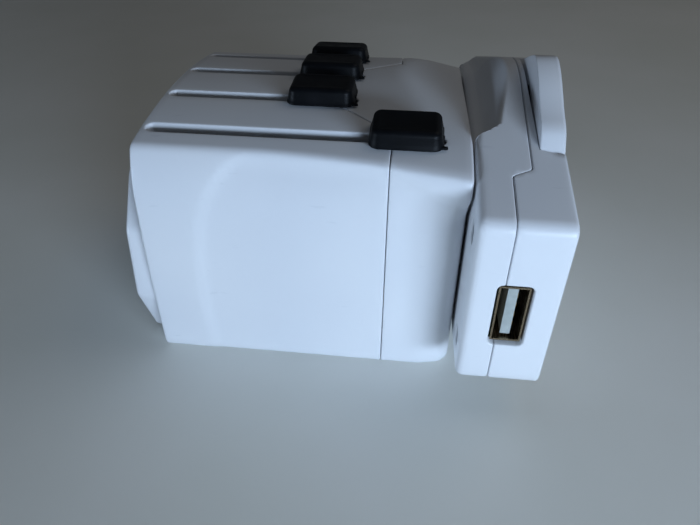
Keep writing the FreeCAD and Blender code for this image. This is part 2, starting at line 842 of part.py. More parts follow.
def module_prism(name, start, end, inset="0"):
    """Cross-section of the charger module: upright ends and a ridged top and underside."""
    body = new_body(name, x=start)
    section = sketch_on(body, name + "_section", "YZ_Plane")
    near = less(half(size("module_width")), inset)
    ridge = size("module_ridge_side")
    low = add(size("module_face_bottom"), times("0.8", inset))
    high = less(size("module_face_top"), times("0.8", inset))
    polygon(section, [
        (minus(near), low),
        (ridge, add(size("module_ridge_bottom"), inset)),
        (near, low),
        (near, high),
        (ridge, less(size("module_ridge_top"), inset)),
        (minus(near), high),
    ])
    block = pad(body, section, name + "_pad", less(end, start))
    ridge_y = number(ridge)
    if inset == "0":
        ridges = fillet(body, block, name + "_ridges", size("module_ridge_radius"),
                        lambda edge, at: edge.BoundBox.YLength < 0.01 and edge.BoundBox.ZLength < 0.01
                        and abs(at.y - ridge_y) < 0.1)
        fillet(body, ridges, name + "_corners", size("module_corner_radius"),
               lambda edge, at: edge.BoundBox.YLength < 0.01 and edge.BoundBox.ZLength < 0.01
               and abs(at.y) > number(near) - 0.1)
    return body


PORT_MIDDLE = add(PARTING, size("port_offset"))
MODULE_FRONT = minus(half(size("module_width")))
BOARD_RIGHT = less(PORT_MIDDLE, half(size("usb_shell_height")))
BOARD_LEFT = less(BOARD_RIGHT, size("board_thickness"))
SHELL_LEFT = add(MODULE_LEFT, size("module_wall"))
SHELL_RIGHT = less(DISC_LEFT, size("module_wall"))
SCREWS = [
    (label, times(turn, less(half(size("module_width")), size("screw_inset"))), size(height))
    for label, turn, height in (
        ("near_low", -1, "screw_low"),
        ("near_high", -1, "screw_high"),
        ("far_low", 1, "screw_low"),
        ("far_high", 1, "screw_high"),
    )
]


def port_tool(name):
    """Cutter of the USB opening in the near wall of the module."""
    return span(name, around(PORT_MIDDLE, size("port_height")),
                (less(MODULE_FRONT, "1"), add(MODULE_FRONT, size("module_wall"), "0.5")),
                around(size("port_level"), size("port_width")))


def make_rear_shell():
    """Half of the module shell that faces the body, with a finger scoop in its roof."""
    block = module_prism("rear_block", MODULE_LEFT, PARTING)
    cavity = module_prism("rear_cavity", SHELL_LEFT, add(PARTING, "1"), size("module_wall"))
    wall = size("module_wall")
    roof = span("rear_scoop_housing", (less(MODULE_LEFT, "1"), add(PARTING, "2")),
                around(size("scoop_side"), add(size("scoop_width"), wall, wall)),
                (less(size("scoop_height"), size("scoop_radius"), wall), OVER_TOP))
    hollow = cut("rear_hollow", cavity, [roof])
    across = around(size("scoop_side"), size("scoop_width"))
    scoop = [
        cross_rod("rear_scoop_round", MODULE_LEFT, across[0], size("scoop_height"),
                  size("scoop_radius"), size("scoop_width")),
        span("rear_scoop_mouth", (less(MODULE_LEFT, "1"), add(MODULE_LEFT, size("scoop_radius"))),
             across, (size("scoop_height"), OVER_TOP)),
    ]
    shell = cut("rear_shell_blank", block, [hollow, port_tool("rear_port")] + scoop)
    posts = [rod("rear_post_" + label, add(MODULE_LEFT, "0.5"), y, z, size("screw_post_radius"),
                 less(PARTING, MODULE_LEFT, "0.5")) for label, y, z in SCREWS]
    bores = [rod("rear_screw_bore_" + label, less(MODULE_LEFT, "1"), y, z,
                 add(half(size("screw_shank_diameter")), size("screw_play")), "12")
             for label, y, z in SCREWS]
    sinks = [rod("rear_screw_sink_" + label, less(MODULE_LEFT, "1"), y, z,
                 add(half(size("screw_head_diameter")), size("screw_head_play")),
                 add("1", size("screw_sink_depth")))
             for label, y, z in SCREWS]
    pin_bores = [rod("rear_pin_bore_" + name, less(MODULE_LEFT, "1"),
                     times(turn, half(size("pin_spacing"))), size("europe_level"),
                     half(size("europe_pin_diameter")), "6")
                 for name, turn in (("live", -1), ("neutral", 1))]
    return cut("module_rear_shell", joined("rear_with_posts", [shell] + posts),
               bores + sinks + pin_bores)


def make_front_shell():
    """Outer half of the module shell, with a round seat for the end disc."""
    block = module_prism("front_block", PARTING, MODULE_RIGHT)
    cavity = module_prism("front_cavity", less(PARTING, "1"), SHELL_RIGHT, size("module_wall"))
    bay = span("front_usb_bay", (less(PARTING, "1"), less(MODULE_RIGHT, size("module_wall"))),
               (add(MODULE_FRONT, size("module_wall")),
                add(MODULE_FRONT, size("usb_recess"), size("usb_shell_length"), size("port_bay_gap"))),
               around(size("port_level"),
                      add(size("port_width"), size("port_bay_margin"), size("port_bay_margin"))))
    seat = rod("front_disc_seat", DISC_LEFT, "0", size("disc_height"),
               add(size("disc_radius"), size("disc_seat_gap")), add(size("disc_depth"), "1"))
    window = rod("front_disc_window", less(SHELL_RIGHT, "1"), "0", size("disc_height"),
                 less(size("disc_radius"), size("disc_rim_width")), add(size("module_wall"), "2"))
    shell = cut("front_shell_blank", block,
                [cavity, bay, seat, window, port_tool("front_port")])
    posts = [rod("front_post_" + label, PARTING, y, z, size("screw_post_radius"),
                 less(add(SHELL_RIGHT, "0.5"), PARTING)) for label, y, z in SCREWS]
    bores = [rod("front_screw_bore_" + label, less(PARTING, "1"), y, z,
                 half(size("screw_shank_diameter")), add("1", size("screw_thread_depth")))
             for label, y, z in SCREWS]
    return cut("module_front_shell", joined("front_with_posts", [shell] + posts), bores)


def make_end_disc():
    """Round cover on the outer end of the module, hollow on its inner side."""
    body = new_body("end_disc", x=DISC_LEFT, z=size("disc_height"))
    rim = sketch_on(body, "end_disc_rim", "YZ_Plane")
    disc(rim, size("disc_radius"))
    pad(body, rim, "end_disc_pad", size("disc_depth"))
    inner = sketch_on(body, "end_disc_inner", "YZ_Plane")
    disc(inner, less(size("disc_radius"), size("disc_rim_width")))
    hollow = pocket(body, inner, "end_disc_hollow", less(size("disc_depth"), size("module_wall")),
                    reverse=True)
    depth = number(size("disc_depth"))
    fillet(body, hollow, "end_disc_edge", size("disc_edge_radius"),
           lambda edge, at: edge.BoundBox.XLength < 0.01 and at.x > depth - 0.01)
    return body


def make_usb_port():
    """Metal shell of the USB socket, its tongue, the four contacts and the rear block."""
    front = add(MODULE_FRONT, size("usb_recess"))
    back = add(front, size("usb_shell_length"))
    wall = size("usb_shell_wall")
    high = around(size("port_level"), size("usb_shell_width"))
    deep = around(PORT_MIDDLE, size("usb_shell_height"))
    outer = span("usb_shell_outer", deep, (front, back), high)
    inner = span("usb_shell_inner", (add(deep[0], wall), less(deep[1], wall)),
                 (less(front, "1"), add(back, "1")), (add(high[0], wall), less(high[1], wall)))
    shell = cut("usb_shell", outer, [inner])
    plug_back = less(back, size("usb_block_depth"))
    tongue_left = add(deep[0], wall, size("usb_tongue_offset"))
    tongue = span("usb_tongue_blade", (tongue_left, add(tongue_left, size("usb_tongue_thickness"))),
                  (add(front, size("usb_tongue_recess")), back),
                  around(size("port_level"), size("usb_tongue_width")))
    block = span("usb_tongue_block", (add(deep[0], wall), less(deep[1], wall)), (plug_back, back),
                 (add(high[0], wall), less(high[1], wall)))
    joined("usb_tongue", [tongue, block])
    strips = []
    contact_left = add(tongue_left, size("usb_tongue_thickness"))
    for index in range(4):
        level = add(size("port_level"), times(index - 1.5, size("usb_contact_pitch")))
        strips.append(span("usb_contact_%d" % index,
                           (contact_left, add(contact_left, size("usb_contact_thickness"))),
                           (add(front, size("usb_contact_recess")), plug_back),
                           around(level, size("usb_contact_width"))))
    group("usb_contacts", strips)
    return shell


def on_board(name, side, level, width, height, depth):
    """A block that stands on the outer face of the circuit board."""
    return span(name, (BOARD_RIGHT, add(BOARD_RIGHT, depth)), around(side, width), around(level, height))


def make_electronics():
    """Circuit board behind the port and the parts that stand on it."""
    near = add(MODULE_FRONT, size("board_near_inset"))
    far = less(half(size("module_width")), size("board_far_inset"))
    wide = span("board_main", (BOARD_LEFT, BOARD_RIGHT), (near, far),
                (size("board_bottom"), size("board_top")))
    nose = span("board_nose", (BOARD_LEFT, BOARD_RIGHT),
                (add(MODULE_FRONT, size("board_nose_inset")), add(near, "1")),
                around(size("port_level"), size("board_nose_width")))
    pins = [rod("board_pin_hole_" + name, less(BOARD_LEFT, "1"), times(turn, half(size("pin_spacing"))),
                size("europe_level"), half(size("europe_pin_diameter")), "5")
            for name, turn in (("live", -1), ("neutral", 1))]
    cut("circuit_board", joined("board_blank", [wide, nose]), pins)
    side, level = size("transformer_side"), size("disc_height")
    core = on_board("transformer_core", side, level, size("core_width"), size("core_height"),
                    size("core_depth"))
    coil = on_board("transformer_coil", side, level, size("coil_width"), size("coil_height"),
                    size("coil_depth"))
    joined("transformer", [core, coil])
    for name, turn in (("input_capacitor", 1), ("output_capacitor", -1)):
        rod(name, BOARD_RIGHT, times(turn, size(name + "_side")), size(name + "_level"),
            half(size(name + "_diameter")), size(name + "_length"))
    on_board("controller_chip", minus(size("chip_side")), size("chip_level"), size("chip_width"),
             size("chip_height"), size("chip_thickness"))
    on_board("bridge_rectifier", size("input_capacitor_side"), size("rectifier_level"),
             size("rectifier_width"), size("rectifier_width"), size("rectifier_thickness"))


def make_module_pins():
    """Two round pins that plug the module into the body, and their insulating holder."""
    rods = []
    holes = []
    radius = half(size("europe_pin_diameter"))
    for name, turn in (("live", -1), ("neutral", 1)):
        side = times(turn, half(size("pin_spacing")))
        low = less(BODY_RIGHT, size("module_pin_length"))
        rods.append(rod("module_pin_" + name, low, side, size("europe_level"), radius,
                        less(BOARD_RIGHT, low)))
        holes.append(rod("holder_bore_" + name, MODULE_LEFT, side, size("europe_level"), radius, "8"))
    group("module_pins", rods)
    block = span("holder_block", (SHELL_LEFT, BOARD_LEFT), around("0", size("holder_width")),
                 around(size("europe_level"), size("holder_height")))
    cut("pin_holder", block, holes)


def make_screws():
    """Four screws that close the module shell from its inner side."""
    screws = []
    for label, y, z in SCREWS:
        seat = add(MODULE_LEFT, size("screw_sink_depth"))
        head = rod("screw_head_" + label, less(seat, size("screw_head_height")), y, z,
                   half(size("screw_head_diameter")), size("screw_head_height"))
        shank = rod("screw_shank_" + label, less(seat, "0.5"), y, z, half(size("screw_shank_diameter")),
                    less(add(PARTING, size("screw_thread_depth"), "0.3"), seat))
        drive = rod("screw_drive_" + label, less(seat, size("screw_head_height"), "1"), y, z,
                    size("screw_drive_radius"), "1.5")
        screws.append(cut("screw_" + label, joined("screw_blank_" + label, [head, shank]), [drive]))
    group("module_screws", screws)


def make_fuse():
    """Ceramic fuse with end caps in two clips on the inner wall of the end cap."""
    axis_x = less(CAVITY_RIGHT, size("fuse_setback"))
    radius = half(size("fuse_diameter"))
    level, width, inset = size("fuse_height"), size("clip_width"), size("clip_inset")
    start = less(size("fuse_side"), half(size("fuse_length")))
    end = add(start, size("fuse_length"))
    cross_rod("fuse", axis_x, start, level, radius, size("fuse_length"))
    clips = []
    for name, low in (("near", add(start, inset)), ("far", less(end, inset, width))):
        block = span("clip_block_" + name, (less(axis_x, radius, size("clip_lip")), CAVITY_RIGHT),
                     (low, add(low, width)), around(level, size("clip_height")))
        bore = cross_rod("clip_bore_" + name, axis_x, less(low, "1"), level, radius, add(width, "2"))
        clips.append(cut("clip_" + name, block, [bore]))
    group("fuse_clips", clips)


# Blocks of the carriages: pairs of low and high places across the body and up.
UK_COLUMN = around(SIDE["uk"], size("column_width"))
UK_BAR_TOP = add(size("uk_level"), half(size("uk_pin_height")), size("pin_wall"))
UK_BAR_END = add(half(size("uk_pin_spacing")), half(size("uk_pin_width")), size("pin_wall"))
UK_ARM = around(add(size("uk_level"), size("uk_earth_rise")),
                add(size("uk_earth_height"), size("earth_pin_wall"), size("earth_pin_wall")))
UK_ARM_END = add(half(size("uk_earth_width")), size("pin_wall"))
EUROPE_COLUMN = around(SIDE["europe"], size("column_width"))
EUROPE_BAR = around(size("europe_level"), size("europe_bar_height"))
EUROPE_BAR_END = minus(add(half(size("pin_spacing")), half(size("europe_pin_diameter")), size("pin_wall")))
US_BLOCK_WIDTH = add(size("us_pin_spacing"), size("us_pin_thickness"), times("2", size("blade_wall")))
BLADE_BLOCK = (less(size("blade_level"), half(size("blade_height")), size("pin_wall")), CARRIAGE_TOP)
DIVIDER_LEFT = add(FRONT["europe"], size("carriage_depth"), size("divider_gap"))


def make_divider():
    """Partition across the case behind the short carriages, open where the long one passes."""
    right = add(DIVIDER_LEFT, size("divider_thickness"))
    slab = cavity_prism("divider_slab", DIVIDER_LEFT, right)
    room, play = size("divider_room"), size("rail_play")
    whole = (less(DIVIDER_LEFT, "1"), add(right, "1"))
    near, far = minus(half(size("body_width"))), half(size("body_width"))
    tools = [
        span("divider_uk_column", whole, (near, add(UK_COLUMN[1], room)), ("0", OVER_TOP)),
        span("divider_uk_bar", whole, (near, add(UK_BAR_END, room)), ("0", add(UK_BAR_TOP, room))),
        span("divider_uk_arm", whole, (near, add(UK_ARM_END, room)),
             (less(UK_ARM[0], room), add(UK_ARM[1], room))),
        span("divider_rail_notch", whole, (less(CAVITY_HALF, size("rail_thickness"), play), far),
             around(size("europe_level"), add(size("rail_height"), play, play))),
    ]
    return cut("divider", slab, tools)


def make_earth_strip():
    """Earth conductor along the floor, turned up against the divider."""
    low = add(UK_BAR_END, size("earth_strip_gap"))
    across = (low, add(low, size("earth_strip_width")))
    flat = span("earth_flat", (add(CAVITY_LEFT, size("rail_setback")), DIVIDER_LEFT), across,
                (CAVITY_FLOOR, add(CAVITY_FLOOR, size("rail_thickness"))))
    tab = span("earth_tab", (less(DIVIDER_LEFT, size("rail_thickness")), DIVIDER_LEFT), across,
               (CAVITY_FLOOR, add(CAVITY_FLOOR, size("earth_tab_height"))))
    return joined("earth_strip", [flat, tab])


CARRIAGE_BLOCKS = {
    "uk": [
        ("column", UK_COLUMN, (CARRIAGE_FLOOR, CARRIAGE_TOP)),
        ("bar", (UK_COLUMN[0], UK_BAR_END), (CARRIAGE_FLOOR, UK_BAR_TOP)),
        ("arm", (UK_COLUMN[0], UK_ARM_END), UK_ARM),
    ],
    "us": [("block", around(US_MIDDLE, US_BLOCK_WIDTH), BLADE_BLOCK)],
    "australia": [("block", around(AUSTRALIA_MIDDLE, size("australia_block_width")), BLADE_BLOCK)],
    "europe": [
        ("bar", (EUROPE_BAR_END, EUROPE_COLUMN[1]), EUROPE_BAR),
        ("column", EUROPE_COLUMN, (EUROPE_BAR[0], CARRIAGE_TOP)),
    ],
}

make_sleeve()
make_end_cap()
make_face_plate()
for plug in SIDE:
    make_button(plug)
    make_carriage(plug, CARRIAGE_BLOCKS[plug])
make_rail("live_rail", -1)
make_rail("neutral_rail", 1)
make_divider()
make_earth_strip()
make_fuse()
make_rear_shell()
make_front_shell()
make_end_disc()
make_usb_port()
make_electronics()
make_module_pins()
make_screws()
doc.recompute()

NODES = ["main_sleeve", "end_cap", "face_plate"]
NODES += [plug + part for plug in SIDE for part in ("_slider_button", "_carriage", "_pins")]
NODES += ["live_rail", "neutral_rail", "earth_strip", "divider", "fuse", "fuse_clips"]
NODES += ["module_rear_shell", "module_front_shell", "end_disc", "usb_shell", "usb_tongue"]
NODES += ["usb_contacts", "circuit_board", "transformer", "input_capacitor", "output_capacitor"]
NODES += ["controller_chip", "bridge_rectifier", "module_pins", "pin_holder", "module_screws"]

for item in doc.Objects:
    if any(word in item.State for word in ("Invalid", "Error")):
        raise RuntimeError("%s is %s" % (item.Name, item.State))
os.makedirs("parts", exist_ok=True)
for node in NODES:
    shape = doc.getObject(node).Shape
    if shape.isNull() or not shape.isValid() or not shape.Solids:
        raise RuntimeError(node + " has no sound solid")
    shape.exportStep("parts/%s.step" % node)
    bounds = shape.BoundBox
    print(node, len(shape.Solids), round(shape.Volume, 1),
          [round(v, 2) for v in (bounds.XMin, bounds.XMax, bounds.YMin, bounds.YMax,
                                 bounds.ZMin, bounds.ZMax)])
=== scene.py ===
"""Finished look of the travel adapter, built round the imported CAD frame.

Lengths are millimetres in the part's own frame. They become metres when a mesh, lamp or camera is made.
"""

import bpy
import numpy as np
from mathutils import Matrix
from mathutils.geometry import delaunay_2d_cdt


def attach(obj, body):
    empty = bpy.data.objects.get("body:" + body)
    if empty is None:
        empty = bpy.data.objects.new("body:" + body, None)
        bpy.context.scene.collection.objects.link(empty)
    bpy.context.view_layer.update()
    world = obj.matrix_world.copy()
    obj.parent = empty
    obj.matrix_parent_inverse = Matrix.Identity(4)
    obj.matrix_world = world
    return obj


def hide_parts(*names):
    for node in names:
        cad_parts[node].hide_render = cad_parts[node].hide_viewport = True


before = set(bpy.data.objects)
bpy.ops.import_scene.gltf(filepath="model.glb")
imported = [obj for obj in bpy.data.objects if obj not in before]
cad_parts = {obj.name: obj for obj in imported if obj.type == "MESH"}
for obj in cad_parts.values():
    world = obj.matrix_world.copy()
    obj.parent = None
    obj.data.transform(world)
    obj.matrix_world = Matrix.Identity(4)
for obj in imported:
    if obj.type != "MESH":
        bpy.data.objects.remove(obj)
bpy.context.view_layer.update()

# Places along the adapter.
WALL_FACE = -43.55
CASE_LEFT = -38.85
SEAM = 11.35
CASE_RIGHT = 26.55
MODULE_LEFT = 26.95
DISC_LEFT = 38.75
MODULE_RIGHT = 43.55

# Walls, gaps between pieces, and rims. A rim is rounded over four rows of points, and the closed
# end of a shell over rows at shares of its radius.
CASE_WALL = 2.0
PLATE_WALL = 2.5
PLATE_SKIRT = 0.4
PLATE_RADIUS = 1.0
MODULE_WALL = 1.8
SEAM_GAP = 0.075
PARTING_GAP = 0.07
SEAT_GAP = 0.15
RIM = 0.3
RIM_STEPS = (0.0, 0.1, 0.2, 0.3)
ROUNDING = np.array([0.0, 0.04, 0.15, 0.34, 0.62, 1.0])
WALL_STEP = 2.2
HAIR = 0.0005
FAR = 1000.0

# Cross-section of the case: half widths, heights and radii.
CASE_HALF = 33.2
CORNER = 2.2
SHOULDER = 38.0
SHOULDER_HALF = 31.49
SHOULDER_RUN = 11.73
SHOULDER_BULGE = 1.3
CREASE_HALF = 28.0
CREASE_REACH = 1.2
EVEN_CROWN = 24.0
CROWN_TOP = 51.73
CROWN_RADIUS = 156.0

# Widening of crease and shoulder from a place on the case up to its module end.
WIDENING_START = -14.0
CREASE_WIDENING = 4.8
SHOULDER_WIDENING = 1.6

# Flat at the far top corner of the end cap: a point on it, the way it falls and how steeply.
FACET_POINT = (11.95, 13.6, 51.1)
FACET_HEADING = np.radians(18.6)
FACET_SLOPE = np.radians(15.6)

# Hand relief, and the middle line of its front edge: height, and place along the case.
RELIEF_DEPTH = 1.2
RELIEF_BLEND = 1.25
RELIEF_TOP = 47.5
RELIEF_HEIGHTS = np.array([-5.0, 0.0, 8.0, 15.0, 22.0, 28.4, 33.0, 35.5, 39.3, 42.8, 46.2, 48.7, 50.0, 52.0])
RELIEF_EDGE = np.array([-25.4, -26.0, -27.0, -27.3, -27.0, -26.6, -26.1, -25.6, -24.2, -22.3, -19.7, -16.5,
                        -13.0, -8.0])

# Tongue of the end cap, and the four slots: middle line and end towards the module.
TONGUE_REACH = 15.3
TONGUE_ROOT = 20.4
TONGUE_TIP = 6.7
SLOT_RADIUS = 1.45
SLOT_LEFT = -37.7
SLOTS = {"uk": (-21.75, 21.5), "us": (-7.25, 3.2), "australia": (7.25, 3.2), "europe": (21.75, 3.2)}

# Plug pins: heights, half distances between two pins, sizes and tips.
PIN_PLAY = 0.4
UK_LEVEL = 6.6
UK_EARTH_LEVEL = UK_LEVEL + 22.2
UK_HALF = 11.1
UK_TIP = -17.0
UK_EARTH_TIP = -22.0
UK_BARE = 8.2
BLADE_LEVEL = 39.4
BLADE_WIDTH = 6.35
EUROPE_LEVEL = 17.5
EUROPE_HALF = 9.5
EUROPE_RADIUS = 2.0
EUROPE_TIP = -36.6
EUROPE_BARE = 9.0
CARRIAGE_FACE = {"uk": 8.2, "us": -10.1, "australia": -10.1, "europe": -13.1}

# Flat blades: thickness, tip, radius of the cross hole, middle between the two, half the distance
# between them, and how far they lean in degrees.
BLADES = {
    "us": (1.55, -35.1, 1.5, SLOTS["us"][0] - 2.15, 6.35, 0.0),
    "australia": (1.6, -34.7, 0.0, SLOTS["australia"][0] + 1.75, 6.85, 30.0),
}

# Disc and port of the charger module, and its near wall, which the port is in.
DISC_LEVEL = 33.0
DISC_RADIUS = 28.6
RIDGE_TOP = 27.4
RIDGE_SIDE = -1.5
NEAR_WALL = -43.0
PORT_X = 35.25
PORT_Z = 25.95
PORT_HALF_X = 3.3
PORT_HALF_Z = 7.25
PORT_CORNER = 1.25


# Sums that the shapes share.


def unit(rows):
    """Each row divided by its own length."""
    return rows / np.maximum(np.linalg.norm(rows, axis=-1, keepdims=True), 1e-12)


def ease(value, low, high):
    """Smooth step: 0 below low, 1 above high, and 3q^2 - 2q^3 between them."""
    share = np.clip((value - low) / (high - low), 0.0, 1.0)
    return share * share * (3.0 - 2.0 * share)


def soft_lower(first, second, blend):
    """The lower of two values, rounded where they differ by less than blend."""
    overlap = np.maximum(blend - np.abs(first - second), 0.0)
    return np.minimum(first, second) - overlap**2 / (4.0 * np.maximum(blend, 1e-9))


def quarter(distance, radius):
    """Depth of a rounded edge: radius less the height of a quarter circle over the distance."""
    inside = np.clip(radius - distance, 0.0, radius)
    return radius - np.sqrt(radius**2 - inside**2)


def around_box(u, v, half_u, half_v, radius):
    """Signed distance to a rectangle with rounded corners, negative inside."""
    across = np.abs(u) - (half_u - radius)
    along = np.abs(v) - (half_v - radius)
    outside = np.hypot(np.maximum(across, 0.0), np.maximum(along, 0.0))
    return outside + np.minimum(np.maximum(across, along), 0.0) - radius


def box_path(half_u, half_v, radius, turn=0.0, centre=(0.0, 0.0), count=8):
    """Closed outline of a rectangle with rounded corners: four quarter arcs, turned and moved."""
    sweep = np.linspace(0.0, 0.5 * np.pi, count)
    corners = np.array([(1, 1), (-1, 1), (-1, -1), (1, -1)], float)
    angles = sweep[None, :] + 0.5 * np.pi * np.arange(4)[:, None]
    arcs = radius * np.stack([np.cos(angles), np.sin(angles)], axis=-1)
    points = (corners[:, None, :] * (half_u - radius, half_v - radius) + arcs).reshape(-1, 2)
    cos, sin = np.cos(turn), np.sin(turn)
    return points @ np.array([[cos, sin], [-sin, cos]]) + np.array(centre)


def inside_path(u, v, path):
    """True where a point has an odd number of outline edges to its right."""
    start, end = path, np.roll(path, -1, axis=0)
    v = v[:, None]
    crosses = (start[:, 1] > v) != (end[:, 1] > v)
    slope = (end[:, 0] - start[:, 0]) / np.where(end[:, 1] == start[:, 1], 1e-12, end[:, 1] - start[:, 1])
    reach = start[:, 0] + (v - start[:, 1]) * slope
    return (crosses & (u[:, None] < reach)).sum(axis=1) % 2 == 1


def fine_steps(low, high, step, spots=(), near=(0.0,)):
    """Even steps from low to high, with further lines at the given offsets from each spot."""
    count = int(np.ceil((high - low) / step)) + 1
    even = np.linspace(low, high, count)
    close = (np.array(spots, float)[:, None] + np.array(near, float)[None, :]).reshape(-1)
    close = close[(close > low) & (close < high)]
    if len(close):
        gap = np.abs(even[:, None] - close[None, :]).min(axis=1)
        ends = (even == low) | (even == high)
        even = even[(gap > 0.4 * step) | ends]
    return np.unique(np.round(np.concatenate([even, close]), 6))


def end_lines(low, high, step, end, radius):
    """Even steps from low to high, with further lines over the rounding of a closed end."""
    offsets = np.concatenate([radius * ROUNDING, -radius * ROUNDING])
    return fine_steps(low, high, step, spots=(end,), near=offsets)


def grid_points(us, vs, clear, distance):
    """All pairs of two lists of lines, less the ones nearer to an outline than the clearance."""
    u, v = [part.reshape(-1) for part in np.meshgrid(us, vs, indexing="ij")]
    free = distance(u, v) > clear
    return np.stack([u[free], v[free]], axis=1)


def grid_faces(rows, columns, ring=False):
    """Two triangles for every square of a grid of points, whose last column meets its first in a ring."""
    row = np.arange(rows - 1)[:, None] * columns
    step = np.arange(columns if ring else columns - 1)
    here, beside = (row + step).reshape(-1), (row + (step + 1) % columns).reshape(-1)
    return np.concatenate([
        np.stack([here, beside, beside + columns], axis=1),
        np.stack([here, beside + columns, here + columns], axis=1),
    ])


def trimmed_net(points, paths, keep, bounded=False):
    """Flat pattern: grid points and outlines joined by a Delaunay net.

    Every outline is an array of points and whether it is closed. The keep function says for
    arrays of places which triangles of the net stay. A bounded net ends at its outermost
    outline, and any other net at the hull of its points.
    """
    coords, edges, start = [points], [], len(points)
    for path, closed in paths:
        index = start + np.arange(len(path))
        pairs = np.stack([index, np.roll(index, -1)], axis=1)
        edges.append(pairs if closed else pairs[:-1])
        coords.append(path)
        start += len(path)
    flat, pairs = np.concatenate(coords).tolist(), np.concatenate(edges).tolist()
    net = delaunay_2d_cdt(flat, pairs, [], int(bounded), 1e-5)
    verts = np.array([tuple(place) for place in net[0]])
    faces = np.array(net[2])
    middle = verts[faces].mean(axis=1)
    faces = faces[keep(middle[:, 0], middle[:, 1])]
    used, faces = np.unique(faces, return_inverse=True)
    return verts[used], faces.reshape(-1, 3)


def outward_normals(section, u, x):
    """Normal across the axis: the run of a section between two near places, turned a quarter."""
    step = 0.02
    run = section(u + step, x) - section(u - step, x)
    return unit(np.stack([np.zeros_like(u), -run[:, 2], run[:, 1]], axis=1))


def merged_places(points, size):
    """Index of the first point in the same small cell, and each point's number among those.

    Cells are tried twice, the second time moved by half a cell, so that two equal points on
    either side of a cell's border still meet.
    """
    first, number = np.arange(len(points)), np.arange(len(points))
    for shift in (0.21, 0.71):
        cells = np.round(points[first] / size + shift).astype(np.int64)
        chosen, again = np.unique(cells, axis=0, return_index=True, return_inverse=True)[1:]
        first, number = first[chosen], again.reshape(-1)[number]
    return first, number


def whole(faces):
    """The faces that have no corner twice in a row."""
    return faces[(faces != np.roll(faces, -1, axis=1)).all(axis=1)]


def clean(verts, faces):
    """Points nearer than two microns merged, and faces that lost a side dropped."""
    first, merged = merged_places(verts, 0.002)
    return verts[first], whole(merged[faces])


def shell_mesh(sheets):
    """Solid wall out of sheets: outer face, inner face and a rim along every open edge.

    A sheet is its outer points, its inner points and its triangles. Points of neighbouring
    sheets that meet are merged first.
    """
    outer = np.concatenate([sheet[0] for sheet in sheets])
    inner = np.concatenate([sheet[1] for sheet in sheets])
    starts = np.cumsum([0] + [len(sheet[0]) for sheet in sheets[:-1]])
    faces = np.concatenate([sheet[2] + start for sheet, start in zip(sheets, starts)])
    first, merged = merged_places(outer, 0.004)
    faces = whole(merged[faces])
    outer, inner = outer[first], inner[first]
    count = len(outer)
    edges = np.concatenate([faces[:, [0, 1]], faces[:, [1, 2]], faces[:, [2, 0]]])
    forward = edges[:, 0] * count + edges[:, 1]
    backward = edges[:, 1] * count + edges[:, 0]
    a, b = edges[~np.isin(forward, backward)].T
    rim = np.concatenate([np.stack([b, a, a + count], axis=1), np.stack([b, a + count, b + count], axis=1)])
    return clean(np.concatenate([outer, inner]), np.concatenate([faces, faces[:, ::-1] + count, rim]))


def facing(verts, faces, outward):
    """A sheet's triangles, all turned round where their normals point against the outward one."""
    corners = verts[faces]
    normal = np.cross(corners[:, 1] - corners[:, 0], corners[:, 2] - corners[:, 0])
    agreement = (normal * outward(corners.mean(axis=1))).sum()
    return faces[:, ::-1] if agreement < 0 else faces


def facing_out(points, faces):
    """A closed mesh with all triangles turned round where it holds a negative volume."""
    corners = points[faces]
    volume = (corners[:, 0] * np.cross(corners[:, 1], corners[:, 2])).sum()
    return points, faces[:, ::-1] if volume < 0 else faces


def mesh_object(name, verts, faces, material):
    """An object made of points in millimetres and lists of their numbers."""
    mesh = bpy.data.meshes.new(name)
    mesh.from_pydata((verts * 0.001).tolist(), [], faces)
    mesh.materials.append(material)
    item = bpy.data.objects.new(name, mesh)
    bpy.context.scene.collection.objects.link(item)
    return item


def new_piece(name, parts, material, body, replaces=(), sharp=38.0):
    """A finished object from arrays of points and faces, riding on a body."""
    verts, faces, start = [], [], 0
    for points, polygons in parts:
        verts.append(points)
        faces += (polygons + start).tolist()
        start += len(points)
    piece = mesh_object(name, np.concatenate(verts), faces, material)
    piece.data.validate()
    piece.data.update()
    piece.data.shade_smooth()
    piece.data.set_sharp_from_angle(angle=np.radians(sharp))
    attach(piece, body)
    if replaces:
        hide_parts(*replaces)


# Materials.


def srgb(text):
    """Linear colour of an sRGB hex value."""
    parts = np.array([int(text[place:place + 2], 16) for place in (1, 3, 5)]) / 255.0
    linear = np.where(parts <= 0.04045, parts / 12.92, ((parts + 0.055) / 1.055) ** 2.4)
    return (*linear.tolist(), 1.0)


def add_node(tree, kind, links, values, **settings):
    """One shader node with the links into it, its socket values and its settings."""
    node = tree.nodes.new("ShaderNode" + kind)
    for key, value in settings.items():
        setattr(node, key, value)
    for key, value in values.items():
        node.inputs[key].default_value = value
    for key, socket in links.items():
        tree.links.new(socket, node.inputs[key])
    return node


